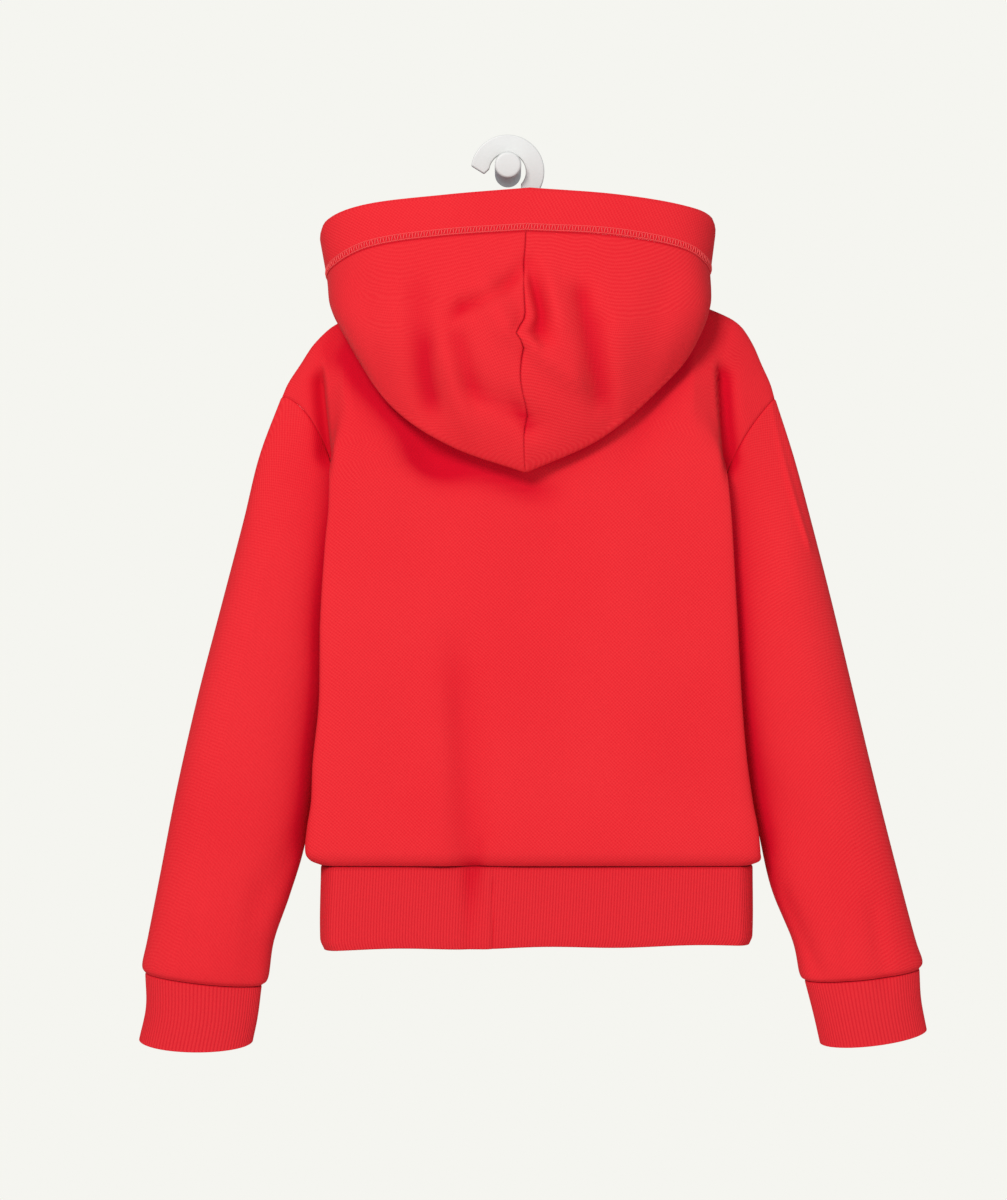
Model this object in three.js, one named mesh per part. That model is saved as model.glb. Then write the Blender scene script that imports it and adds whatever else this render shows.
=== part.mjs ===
// A child's hooded sweatshirt on a hanger, hung on a round wall peg, with its back to the viewer.
// Millimetres. X runs to the viewer's right, Y towards the wall and Z up.
// The origin is on the peg's axis, at the face of the wall.

import * as THREE from 'three';

// Cloth and seams
const CLOTH = 2;
const RIB_CLOTH = 2.2;
const BAND_CLOTH = 3.2;
const PULL = 0.15;
const TURNED_PULL = 0.8;
const BACK = -1;
const FRONT = 1;

// Body: the plane through the hanger, and how the cloth falls away from the shoulder line
const MID_Y = -52;
const SHOULDER_FALL = 130;
const BACK_CROWN = 3;
const UNDERARM_Z = -372;
const HEM_Z = -559;
const SIDE_ROUND = 26;
const PUFF = { height: 9, depth: 3 };
const NECK = { x: 18, half: 85, backDrop: 14, frontDrop: 58 };
const NECK_SEGMENTS = 10;
const ARMHOLE = { depth: 17, segments: 12 };
const SLEEVE_CAP = 2.2;

// Where each half of the garment lies: side is -1 for the viewer's left and +1 for the right
const LEFT = { name: 'left', side: -1, shoulder: { x: -181.6, z: -184 }, bow: 25, skew: 0.64 };
const RIGHT = { name: 'right', side: 1, shoulder: { x: 214.4, z: -185.6 }, bow: 24, skew: 0.85 };

// Body by height: the folded edge on either side, the half depth and how far the side seam is tucked in
const TORSO = [
  { z: -559, left: -156.5, right: 201, half: 28, tuck: 6 },
  { z: -555, left: -162.5, right: 206, half: 31, tuck: 9 },
  { z: -548, left: -164.7, right: 204.2, half: 33, tuck: 11 },
  { z: -530, left: -162.5, right: 201.3, half: 34, tuck: 12 },
  { z: -507, left: -159, right: 197, half: 34, tuck: 12 },
  { z: -475, left: -155.8, right: 190.7, half: 34, tuck: 14 },
  { z: -427, left: -150.4, right: 186, half: 34, tuck: 15 },
  { z: -367, left: -149.4, right: 182.6, half: 34, tuck: 16 },
  { z: -300, left: -143.6, right: 178.2, half: 34, tuck: 16 },
  { z: -270, left: -138.8, right: 174.8, half: 34, tuck: 16 },
  { z: -236, left: -137.4, right: 168.6, half: 34, tuck: 14 },
  { z: -212, left: -141.6, right: 165.4, half: 34, tuck: 8 },
  { z: -181, left: -148.6, right: 164.6, half: 34, tuck: 0 },
];

// Shoulder line from the left armhole over the neck to the right armhole
const RIDGE = [
  { x: -181.6, z: -184 },
  { x: -177, z: -173.5 },
  { x: -167, z: -158 },
  { x: -156, z: -141.5 },
  { x: -139, z: -126.5 },
  { x: -105, z: -113 },
  { x: -67, z: -100 },
  { x: 103, z: -94 },
  { x: 140, z: -106 },
  { x: 173, z: -118.5 },
  { x: 187, z: -127.5 },
  { x: 197, z: -142.5 },
  { x: 204, z: -158.5 },
  { x: 211, z: -174 },
  { x: 214.4, z: -185.6 },
];

// Largest soft folds of the back: from (x0, z0) to (x1, z1), with width and depth (minus for a ridge)
const BACK_FOLDS = [
  { x0: -152, z0: -150, x1: -139, z1: -232, width: 8, depth: 9 },
  { x0: 172, z0: -140, x1: 167, z1: -232, width: 8, depth: 8 },
  { x0: -22, z0: -559, x1: -30, z1: -440, width: 16, depth: 2.5 },
  { x0: -52, z0: -559, x1: -52, z1: -430, width: 14, depth: -1.5 },
];

// Sleeve sections from the armhole to the cuff seam: the outer and inner points of each ring, its half
// depth and how far its near side dips
const SLEEVES = {
  left: [
    { outX: -181.6, outZ: -184, inX: -133.4, inZ: -372, half: 17, dip: 0 },
    { outX: -199.5, outZ: -232, inX: -138.6, inZ: -394, half: 22, dip: 0 },
    { outX: -212.5, outZ: -285, inX: -143, inZ: -421, half: 24.5, dip: 0 },
    { outX: -230, outZ: -352, inX: -149, inZ: -457, half: 26, dip: 0 },
    { outX: -249, outZ: -425, inX: -155.5, inZ: -500, half: 26, dip: 0 },
    { outX: -266, outZ: -500, inX: -163.5, inZ: -546, half: 26, dip: 0 },
    { outX: -279, outZ: -567, inX: -175, inZ: -584, half: 25, dip: 1 },
    { outX: -289, outZ: -618, inX: -187.5, inZ: -620, half: 24, dip: 2 },
    { outX: -293.4, outZ: -639, inX: -192, inZ: -649, half: 22.5, dip: 3 },
    { outX: -291, outZ: -645.6, inX: -197, inZ: -655.6, half: 19, dip: 3 },
  ],
  right: [
    { outX: 214.4, outZ: -185.6, inX: 167, inZ: -372, half: 17, dip: 0 },
    { outX: 229.5, outZ: -233, inX: 172.5, inZ: -394, half: 22, dip: 0 },
    { outX: 243.5, outZ: -285, inX: 178, inZ: -421, half: 24.5, dip: 0 },
    { outX: 260.5, outZ: -352, inX: 185, inZ: -456, half: 26, dip: 0 },
    { outX: 278, outZ: -425, inX: 192, inZ: -495, half: 26, dip: 0 },
    { outX: 296, outZ: -500, inX: 200.5, inZ: -532, half: 26, dip: 0 },
    { outX: 313, outZ: -567, inX: 211, inZ: -578, half: 25, dip: 1 },
    { outX: 326.5, outZ: -618, inX: 228, inZ: -620, half: 24, dip: 2 },
    { outX: 332.4, outZ: -636, inX: 233.6, inZ: -646, half: 22.5, dip: 3 },
    { outX: 330, outZ: -642.2, inX: 237.5, inZ: -651.4, half: 19, dip: 3.5 },
  ],
};

// Cuff rings, from the seam to the open end
const CUFFS = {
  left: [
    { outX: -290.6, outZ: -645.9, inX: -197.8, inZ: -656, half: 18.6, dip: 3 },
    { outX: -290, outZ: -673, inX: -201, inZ: -681, half: 18.6, dip: 5 },
    { outX: -295.5, outZ: -699.5, inX: -205, inZ: -700.5, half: 18, dip: 8 },
  ],
  right: [
    { outX: 329.6, outZ: -642.5, inX: 238.2, inZ: -651.8, half: 18.6, dip: 3.5 },
    { outX: 331, outZ: -667, inX: 245, inZ: -678, half: 18.6, dip: 5 },
    { outX: 335.5, outZ: -691.5, inX: 250.5, inZ: -702, half: 18, dip: 6 },
  ],
};
const CUFF_RIBS = 28;

// Hem rib: plan sections at the seam and at the open edge
const HEM_RINGS = [
  { left: -149.6, leftZ: -559.4, right: 195.8, rightZ: -559.4, half: 26.5, end: 15 },
  { left: -150, leftZ: -626, right: 195.4, rightZ: -622, half: 25.5, end: 13 },
];
const HEM_RIBS = 140;
const RIB_RISE = 0.7;

// Hood sections on either side, from the centre back (t = 0) past the shoulder (t = 0.5) to the centre
// front (t = 1): lowest fold, seam with the band, rim of the opening, reach of the roll at the neck
// seam, swell of the outer wall, and how far the section stands open instead of folding over
const HOOD_CENTRE_BACK = {
  t: 0, foldX: 14, foldY: -98, foldZ: -247, seamX: 14, seamY: -116, seamZ: -57,
  rimX: 17, rimY: -112, rimZ: -22.5, roll: 16, swell: 22, open: 0,
};
const HOOD_CENTRE_FRONT = {
  t: 1, foldX: 18, foldY: -18, foldZ: -150, seamX: 18, seamY: -15, seamZ: -128,
  rimX: 18, rimY: -11, rimZ: -98, roll: 6, swell: 0, open: 1,
};
const HOODS = {
  left: [
    HOOD_CENTRE_BACK,
    { t: 0.15, foldX: -45, foldY: -97.5, foldZ: -226, seamX: -54, seamY: -114, seamZ: -61.5,
      rimX: -50, rimY: -111, rimZ: -28, roll: 16, swell: 22, open: 0 },
    { t: 0.3, foldX: -91, foldY: -94.5, foldZ: -195, seamX: -110, seamY: -105, seamZ: -69.5,
      rimX: -114, rimY: -102, rimZ: -35, roll: 16, swell: 17, open: 0 },
    { t: 0.42, foldX: -121, foldY: -85, foldZ: -151, seamX: -140, seamY: -85, seamZ: -84,
      rimX: -146, rimY: -83, rimZ: -46.5, roll: 15, swell: 9, open: 0 },
    { t: 0.5, foldX: -133, foldY: -56, foldZ: -120, seamX: -143, seamY: -58, seamZ: -94,
      rimX: -149, rimY: -60, rimZ: -62, roll: 14, swell: 2, open: 0 },
    { t: 0.62, foldX: -112, foldY: -24, foldZ: -126, seamX: -118, seamY: -26, seamZ: -103,
      rimX: -123, rimY: -23, rimZ: -72, roll: 12, swell: 1, open: 0.2 },
    { t: 0.8, foldX: -62, foldY: -15, foldZ: -142, seamX: -66, seamY: -15, seamZ: -120,
      rimX: -69, rimY: -11, rimZ: -90, roll: 9, swell: 0, open: 0.6 },
    HOOD_CENTRE_FRONT,
  ],
  right: [
    HOOD_CENTRE_BACK,
    { t: 0.15, foldX: 73, foldY: -97.5, foldZ: -220, seamX: 82, seamY: -114, seamZ: -60.5,
      rimX: 84, rimY: -111, rimZ: -27.5, roll: 16, swell: 22, open: 0 },
    { t: 0.3, foldX: 119, foldY: -93.5, foldZ: -181, seamX: 137, seamY: -104, seamZ: -70,
      rimX: 138, rimY: -102, rimZ: -35.3, roll: 16, swell: 17, open: 0 },
    { t: 0.42, foldX: 146, foldY: -85, foldZ: -147, seamX: 158, seamY: -85, seamZ: -82,
      rimX: 163, rimY: -83, rimZ: -43.5, roll: 15, swell: 9, open: 0 },
    { t: 0.5, foldX: 152, foldY: -56, foldZ: -107, seamX: 160, seamY: -58, seamZ: -90,
      rimX: 164, rimY: -60, rimZ: -57, roll: 14, swell: 2, open: 0 },
    { t: 0.62, foldX: 131, foldY: -24, foldZ: -119, seamX: 136, seamY: -26, seamZ: -98,
      rimX: 141, rimY: -23, rimZ: -67, roll: 12, swell: 1, open: 0.2 },
    { t: 0.8, foldX: 86, foldY: -15, foldZ: -139, seamX: 88, seamY: -15, seamZ: -117,
      rimX: 91, rimY: -11, rimZ: -87, roll: 9, swell: 0, open: 0.6 },
    HOOD_CENTRE_FRONT,
  ],
};
const HOOD_COLUMNS = 20;
const HOOD_LEVELS = [0, 1, 2, 3, 3.5, 4, 4.5, 5, 6, 7, 7.6, 8.2, 8.6, 9];
const BODY_CLEARANCE = 4;
const FOLD_ROUND = { reach: 7, rise: 9 };

// Largest soft folds of the hood's outer wall, as seen from the back
const HOOD_FOLDS = [
  { x0: -22, z0: -103, x1: 10, z1: -88, width: 9, depth: 4 },
  { x0: -14, z0: -112, x1: 2, z1: -118, width: 14, depth: -4 },
  { x0: 19, z0: -102, x1: 26, z1: -136, width: 6, depth: 5 },
  { x0: 18, z0: -142, x1: 44, z1: -170, width: 9, depth: -3 },
  { x0: 58, z0: -116, x1: 68, z1: -180, width: 9, depth: 3.5 },
  { x0: -70, z0: -84, x1: -68, z1: -190, width: 16, depth: 3 },
];

// Wall peg, and the flat hook that hangs on it
const PEG = { radius: 10.6, length: 70, round: 2 };
const HOOK = { x: -0.4, z: -3.7, inner: 14.7, outer: 29.5, outerEnd: 171, innerEnd: 172, tipX: -19.1, tipZ: -5.6 };
const STEM = { left: 10.4, right: 25.6 };
const HANGER = { thick: 6, chamfer: 1.2, arm: 12, under: 4.4, leftX: -136, rightX: 168 };
const CROTCH = { x: 18, z: -74, half: 22 };

// Colours
const RED = { color: 0xea3339, roughness: 0.9, metalness: 0 };
const RIB_RED = { color: 0xe42b35, roughness: 0.92, metalness: 0 };
const WHITE = { color: 0xe6e7e2, roughness: 0.45, metalness: 0 };

const { lerp, clamp, degToRad } = THREE.MathUtils;
const v3 = (x, y, z) => new THREE.Vector3(x, y, z);
const limit01 = (q) => clamp(q, 0, 1);
const smooth = (q) => THREE.MathUtils.smoothstep(q, 0, 1);

// Cubic between two values with given slopes
function hermite(from, slopeFrom, to, slopeTo, q) {
  const q2 = q * q;
  const q3 = q2 * q;
  return from * (2 * q3 - 3 * q2 + 1) + slopeFrom * (q3 - 2 * q2 + q)
    + to * (3 * q2 - 2 * q3) + slopeTo * (q3 - q2);
}

// Smooth value of a table's column where its key column has the given value
function look(rows, key, at, column) {
  const last = rows.length - 1;
  const way = Math.sign(rows[last][key] - rows[0][key]);
  let i = 0;
  while (i < last - 1 && (at - rows[i + 1][key]) * way > 0) i += 1;
  const slope = (k) => {
    const before = rows[Math.max(k - 1, 0)];
    const after = rows[Math.min(k + 1, last)];
    return (after[column] - before[column]) / (after[key] - before[key]);
  };
  const span = rows[i + 1][key] - rows[i][key];
  const q = limit01((at - rows[i][key]) / span);
  return hermite(rows[i][column], slope(i) * span, rows[i + 1][column], slope(i + 1) * span, q);
}

// Quarter of a round: 0 at the start, 1 from the full width on
function quarter(q) {
  return Math.sqrt(1 - (1 - limit01(q)) ** 2);
}

const ridgeZ = (x) => look(RIDGE, 'x', x, 'z');

// Depth that a list of folds takes out of a surface at (x, z), as rounded troughs with faded ends
function foldsAt(folds, x, z) {
  let total = 0;
  for (const fold of folds) {
    const alongX = fold.x1 - fold.x0;
    const alongZ = fold.z1 - fold.z0;
    const length = Math.hypot(alongX, alongZ);
    const along = ((x - fold.x0) * alongX + (z - fold.z0) * alongZ) / length;
    const across = ((x - fold.x0) * alongZ - (z - fold.z0) * alongX) / length;
    const beyond = Math.max(0, -along, along - length);
    total += fold.depth * Math.exp(-((across / fold.width) ** 2) - (beyond / (2 * fold.width)) ** 2);
  }
  return total;
}

// Half depth of the body at a height and a distance across
function bodyDepth(face, x, z) {
  const fall = quarter((ridgeZ(x) - z) / SHOULDER_FALL);
  const across = limit01((x - LEFT.shoulder.x) / (RIGHT.shoulder.x - LEFT.shoulder.x));
  const crown = BACK_CROWN * Math.sin(Math.PI * across);
  const puff = PUFF.depth * (1 - quarter((z - HEM_Z) / PUFF.height));
  const folds = face === BACK ? foldsAt(BACK_FOLDS, x, z) : 0;
  return (look(TORSO, 'z', z, 'half') + crown - folds) * fall - puff;
}

// Armhole seam, from the shoulder point (t = 0) to the underarm (t = 1)
function armhole(half, t) {
  const top = half.shoulder;
  const bottom = SLEEVES[half.name][0];
  const chord = new THREE.Vector2(bottom.inX - top.x, UNDERARM_Z - top.z);
  const length = chord.length();
  const bow = half.bow * Math.sin(Math.PI * t ** half.skew);
  return {
    x: lerp(top.x, bottom.inX, t) + half.side * (chord.y / length) * bow,
    z: lerp(top.z, UNDERARM_Z, t) - half.side * (chord.x / length) * bow,
    depth: ARMHOLE.depth * Math.max(0, Math.sin(Math.PI * t)) ** lerp(0.5, 1, t),
  };
}

// Rows of a body panel: levels above the hem up to the underarm, then stations along the armhole
const HEM_LEVELS = [0, 1.5, 4.5, 9, 37, 75, 112, 150];
const ROWS = [
  ...HEM_LEVELS.map((level) => ({ z: HEM_Z + level, t: null, lift: 0 })),
  ...Array.from({ length: ARMHOLE.segments + 1 }, (_, i) => {
    const t = (1 + Math.cos((Math.PI * i) / ARMHOLE.segments)) / 2;
    return { z: null, t, lift: (1 - t) ** 1.5 };
  }),
];

function panelEnd(half, row) {
  if (row.t !== null) return armhole(half, row.t);
  const edge = look(TORSO, 'z', row.z, half.name);
  return { x: edge - half.side * look(TORSO, 'z', row.z, 'tuck'), z: row.z, depth: 0 };
}

// Neckline, from the left side of the neck (0) to the right side (180 degrees)
function neckPoint(face, angle) {
  const drop = face === BACK ? NECK.backDrop : NECK.frontDrop;
  const x = NECK.x - NECK.half * Math.cos(angle);
  const z = ridgeZ(x) - drop * Math.max(0, Math.sin(angle));
  return v3(x, MID_Y + face * bodyDepth(face, x, z), z);
}

// Columns of a body panel, by their places on its top edge
const SIDE_STEPS = [0, 0.12, 0.3, 0.5, 0.68, 0.84, 1];
const SHOULDER_STEPS = 2;

function panelColumns(face) {
  const bend = (half) => look(TORSO, 'z', -120, half.name) - half.side * SIDE_ROUND;
  const sideColumns = (half) => SIDE_STEPS.map((q) => {
    const x = lerp(half.shoulder.x, bend(half), q);
    return { x, z: ridgeZ(x), half, q };
  });
  const neck = Array.from({ length: NECK_SEGMENTS + 1 }, (_, i) => {
    const point = neckPoint(face, (Math.PI * i) / NECK_SEGMENTS);
    return { x: point.x, z: point.z, half: null, q: 0 };
  });
  const shoulder = (from, to) => Array.from({ length: SHOULDER_STEPS - 1 }, (_, i) => {
    const x = lerp(from, to, (i + 1) / SHOULDER_STEPS);
    return { x, z: ridgeZ(x), half: null, q: 0 };
  });
  return [
    ...sideColumns(LEFT),
    ...shoulder(bend(LEFT), neck[0].x),
    ...neck,
    ...shoulder(neck[NECK_SEGMENTS].x, bend(RIGHT)),
    ...sideColumns(RIGHT).reverse(),
  ];
}

// Outer points of the back or front: flat in the middle, folded over at the sides towards the seams
function panelGrid(face) {
  const columns = panelColumns(face);
  const across = (x) => (x - LEFT.shoulder.x) / (RIGHT.shoulder.x - LEFT.shoulder.x);
  const bendLeft = across(columns[SIDE_STEPS.length - 1].x);
  const bendRight = across(columns[columns.length - SIDE_STEPS.length].x);
  return ROWS.map((row) => {
    const ends = { left: panelEnd(LEFT, row), right: panelEnd(RIGHT, row) };
    const heightAt = (f, topZ) => lerp(ends.left.z, ends.right.z, f)
      + row.lift * (topZ - lerp(LEFT.shoulder.z, RIGHT.shoulder.z, f));
    const bend = (half, f) => {
      const z = heightAt(f, ridgeZ(lerp(LEFT.shoulder.x, RIGHT.shoulder.x, f)));
      const x = look(TORSO, 'z', z, half.name) - half.side * SIDE_ROUND;
      return { x, z, depth: bodyDepth(face, x, z) };
    };
    const joints = { left: bend(LEFT, bendLeft), right: bend(RIGHT, bendRight) };
    return columns.map((column) => {
      const f = across(column.x);
      const z = heightAt(f, column.z);
      if (column.half === null) {
        const x = lerp(joints.left.x, joints.right.x, (f - bendLeft) / (bendRight - bendLeft));
        return v3(x, MID_Y + face * bodyDepth(face, x, z), z);
      }
      const { side, name } = column.half;
      const end = ends[name];
      const joint = joints[name];
      const tuck = look(TORSO, 'z', joint.z, 'tuck');
      const roll = smooth(tuck / 16);
      const swing = (0.26 * tuck + 0.74 * SIDE_ROUND) / 0.148;
      const straight = (1 - roll) * (joint.x - end.x);
      const x = hermite(end.x, straight, joint.x, straight - side * roll * swing, column.q);
      const rise = (1 - roll) * (joint.depth - end.depth) + roll * 1.8 * (joint.depth - end.depth);
      const depth = hermite(end.depth, rise, joint.depth, (1 - roll) * (joint.depth - end.depth), column.q);
      return v3(x, MID_Y + face * depth, z);
    });
  });
}

// One ring of a sleeve or cuff, as a point at an angle: 0 is the outer side, 90 degrees the viewer's
function ringPoint(section, angle) {
  const t = (1 - Math.cos(angle)) / 2;
  return v3(
    lerp(section.outX, section.inX, t),
    MID_Y - section.half * Math.sin(angle),
    lerp(section.outZ, section.inZ, t) - section.dip * Math.sin(angle),
  );
}

// Section of a table at a place between its rows
function sectionAt(rows, place) {
  const keyed = rows.map((row, i) => ({ ...row, place: i }));
  return Object.fromEntries(Object.keys(rows[0]).map((column) => [
    column, look(keyed, 'place', place, column),
  ]));
}

const SLEEVE_SIDES = 2 * ARMHOLE.segments;
const RINGS_PER_ROW = 2;

// Outer points of a sleeve: its first ring is the armhole seam, which fades into plain rings
function sleeveGrid(half) {
  const rows = SLEEVES[half.name];
  const rings = (rows.length - 1) * RINGS_PER_ROW;
  return Array.from({ length: rings + 1 }, (_, ring) => {
    const place = ring / RINGS_PER_ROW;
    const section = sectionAt(rows, place);
    const cap = 1 - smooth(place / SLEEVE_CAP);
    return Array.from({ length: SLEEVE_SIDES }, (__, i) => {
      const angle = (2 * Math.PI * i) / SLEEVE_SIDES;
      const point = ringPoint(section, angle);
      const t = (1 - Math.cos(angle)) / 2;
      const seam = armhole(half, t);
      const chordX = lerp(rows[0].outX, rows[0].inX, t);
      const chordZ = lerp(rows[0].outZ, rows[0].inZ, t);
      const face = i <= ARMHOLE.segments ? BACK : FRONT;
      const depth = lerp(Math.abs(point.y - MID_Y), seam.depth, cap);
      return v3(point.x + cap * (seam.x - chordX), MID_Y + face * depth, point.z + cap * (seam.z - chordZ));
    });
  });
}

// Outer points of one hood half: rows run from the neck seam to the seam with the band
function hoodGrid(half) {
  const rows = HOODS[half.name];
  const neckAt = (step) => {
    const t = step / HOOD_COLUMNS;
    const turn = Math.abs(1 - 2 * t) * (Math.PI / 2);
    return neckPoint(t <= 0.5 ? BACK : FRONT, half === LEFT ? turn : Math.PI - turn);
  };
  const profiles = Array.from({ length: HOOD_COLUMNS + 1 }, (_, j) => {
    const t = j / HOOD_COLUMNS;
    const at = (column) => look(rows, 't', t, column);
    const neck = j % 2 === 0 ? neckAt(j) : neckAt(j - 1).add(neckAt(j + 1)).multiplyScalar(0.5);
    const fold = v3(at('foldX'), at('foldY'), at('foldZ'));
    const seam = v3(at('seamX'), at('seamY'), at('seamZ'));
    const out = v3(fold.x - neck.x, fold.y - neck.y, 0).normalize();
    const move = (point, reach, rise) => point.clone().addScaledVector(out, reach).add(v3(0, 0, rise));
    const roll = at('roll');
    const behind = move(neck, roll, 8).lerp(move(fold, -FOLD_ROUND.reach, FOLD_ROUND.rise), 0.5);
    const hug = MID_Y - bodyDepth(BACK, behind.x, behind.z) - BODY_CLEARANCE;
    if (t < 0.47) behind.y = Math.min(behind.y, hug);
    const folded = [
      neck,
      move(neck, 0.1 * roll, 8),
      move(neck, 0.5 * roll, 13),
      move(neck, roll, 8),
      behind,
      move(fold, -FOLD_ROUND.reach, FOLD_ROUND.rise),
      fold,
      move(fold, FOLD_ROUND.reach, FOLD_ROUND.rise),
      move(fold.clone().lerp(seam, 0.5), at('swell'), 0),
      seam,
    ];
    const open = at('open');
    const points = folded.map((point, i) => point.clone().lerp(neck.clone().lerp(seam, i / 9), open));
    return new THREE.CatmullRomCurve3(points, false, 'centripetal');
  });
  return HOOD_LEVELS.map((level) => profiles.map((profile) => {
    const point = profile.getPoint(level / 9);
    if (level > 6.5) {
      const share = smooth((level - 6.5) / 1) * (1 - smooth((level - 8.4) / 0.6));
      point.y += share * foldsAt(HOOD_FOLDS, point.x, point.z);
    }
    return point;
  }));
}

// Outer points of the band: one closed strip round the whole opening
function bandGrid(hoodLeft, hoodRight) {
  const rimAt = (half, j) => {
    const at = (column) => look(HOODS[half.name], 't', j / HOOD_COLUMNS, column);
    return v3(at('rimX'), at('rimY'), at('rimZ'));
  };
  const last = HOOD_LEVELS.length - 1;
  const stations = [];
  for (let j = 0; j < HOOD_COLUMNS; j += 1) stations.push({ from: hoodLeft[last][j], to: rimAt(LEFT, j) });
  for (let j = HOOD_COLUMNS; j > 0; j -= 1) stations.push({ from: hoodRight[last][j], to: rimAt(RIGHT, j) });
  return [0, 0.5, 1].map((q) => stations.map(({ from, to }) => from.clone().lerp(to, q)));
}

// Normals of a grid of points, by the differences of its neighbours
function gridNormals(grid, closed, flip) {
  const rows = grid.length;
  const columns = grid[0].length;
  return grid.map((line, r) => line.map((_, c) => {
    const up = grid[Math.min(r + 1, rows - 1)][c];
    const down = grid[Math.max(r - 1, 0)][c];
    const next = closed ? line[(c + 1) % columns] : line[Math.min(c + 1, columns - 1)];
    const previous = closed ? line[(c + columns - 1) % columns] : line[Math.max(c - 1, 0)];
    const normal = next.clone().sub(previous).cross(up.clone().sub(down)).normalize();
    return flip ? normal.negate() : normal;
  }));
}

// Sum of the normals of all pieces that share a point, so that walls meet along their seams
class SeamNormals {
  sums = new Map();

  key(point) {
    return [point.x, point.y, point.z].map((value) => Math.round(value * 50)).join(' ');
  }

  add(point, normal, weight) {
    const key = this.key(point);
    const sum = this.sums.get(key) ?? v3(0, 0, 0);
    this.sums.set(key, sum.addScaledVector(normal, weight));
  }

  at(point) {
    return this.sums.get(this.key(point)).clone().normalize();
  }
}

// One closed solid from corner points and triangles, faces turned outwards
function solid(points, triangles) {
  let volume = 0;
  for (const [a, b, c] of triangles) {
    volume += points[a].dot(points[b].clone().cross(points[c]));
  }
  const index = triangles.flatMap(([a, b, c]) => (volume > 0 ? [a, b, c] : [a, c, b]));
  const geometry = new THREE.BufferGeometry();
  geometry.setAttribute('position', new THREE.Float32BufferAttribute(points.flatMap((p) => p.toArray()), 3));
  geometry.setIndex(index);
  geometry.computeVertexNormals();
  return geometry;
}

// Cloth wall over a grid of outer points; its edges are pulled back from the seams
function wall(piece, normals) {
  const { grid, closed, thick, startPull } = piece;
  const rows = grid.length;
  const columns = grid[0].length;
  const outer = [];
  const inner = [];
  grid.forEach((line, r) => line.forEach((point, c) => {
    const shift = v3(0, 0, 0);
    const normal = normals.at(point);
    const pull = (towards, distance) => {
      const way = towards.clone().sub(point).projectOnPlane(normal).normalize();
      shift.addScaledVector(way, distance);
    };
    if (r === 0) pull(grid[1][c], startPull);
    if (r === rows - 1) pull(grid[rows - 2][c], PULL);
    if (!closed && c === 0) pull(line[1], PULL);
    if (!closed && c === columns - 1) pull(line[columns - 2], PULL);
    const edge = point.clone().add(shift);
    outer.push(edge);
    inner.push(edge.clone().addScaledVector(normal, -thick));
  }));
  const count = rows * columns;
  const place = (r, c) => r * columns + (c % columns);
  const triangles = [];
  const quad = (a, b, c, d) => triangles.push([a, b, c], [a, c, d]);
  const across = closed ? columns : columns - 1;
  for (let r = 0; r < rows - 1; r += 1) {
    for (let c = 0; c < across; c += 1) {
      const corners = [place(r, c), place(r, c + 1), place(r + 1, c + 1), place(r + 1, c)];
      quad(...corners);
      quad(...corners.reverse().map((corner) => corner + count));
    }
  }
  const rim = (a, b) => quad(b, a, a + count, b + count);
  for (let c = 0; c < across; c += 1) {
    rim(place(0, c), place(0, c + 1));
    rim(place(rows - 1, c + 1), place(rows - 1, c));
  }
  if (!closed) {
    for (let r = 0; r < rows - 1; r += 1) {
      rim(place(r + 1, 0), place(r, 0));
      rim(place(r, columns - 1), place(r + 1, columns - 1));
    }
  }
  return solid([...outer, ...inner], triangles);
}

// Ribbed tube: rings of outer points with a raised rib at every second point over a plain inside
function ribbedTube(rings, ribs, rise, thick) {
  const levels = rings.length;
  const points = [];
  const outerCount = 2 * ribs;
  const outwards = rings.map((ring) => ring.map((_, i) => {
    const next = ring[(i + 1) % outerCount];
    const previous = ring[(i + outerCount - 1) % outerCount];
    return next.clone().sub(previous).cross(v3(0, 0, 1)).normalize();
  }));
  rings.forEach((ring, r) => ring.forEach((point, i) => {
    points.push(point.clone().addScaledVector(outwards[r][i], i % 2 === 0 ? rise : 0));
  }));
  rings.forEach((ring, r) => {
    for (let k = 0; k < ribs; k += 1) {
      points.push(ring[2 * k].clone().addScaledVector(outwards[r][2 * k], -thick));
    }
  });
  const outer = (r, i) => r * outerCount + (i % outerCount);
  const inner = (r, k) => levels * outerCount + r * ribs + (k % ribs);
  const triangles = [];
  for (let r = 0; r < levels - 1; r += 1) {
    for (let i = 0; i < outerCount; i += 1) {
      triangles.push([outer(r, i), outer(r, i + 1), outer(r + 1, i + 1)]);
      triangles.push([outer(r, i), outer(r + 1, i + 1), outer(r + 1, i)]);
    }
    for (let k = 0; k < ribs; k += 1) {
      triangles.push([inner(r, k), inner(r + 1, k + 1), inner(r, k + 1)]);
      triangles.push([inner(r, k), inner(r + 1, k), inner(r + 1, k + 1)]);
    }
  }
  for (const [r, turned] of [[0, true], [levels - 1, false]]) {
    for (let k = 0; k < ribs; k += 1) {
      const faces = [
        [outer(r, 2 * k), outer(r, 2 * k + 1), inner(r, k)],
        [outer(r, 2 * k + 1), inner(r, k + 1), inner(r, k)],
        [outer(r, 2 * k + 1), outer(r, 2 * k + 2), inner(r, k + 1)],
      ];
      for (const [a, b, c] of faces) triangles.push(turned ? [a, c, b] : [a, b, c]);
    }
  }
  return solid(points, triangles);
}

function cuffRings(name) {
  return CUFFS[name].map((section) => Array.from({ length: 2 * CUFF_RIBS }, (_, i) => (
    ringPoint(section, (-2 * Math.PI * i) / (2 * CUFF_RIBS))
  )));
}

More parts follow.
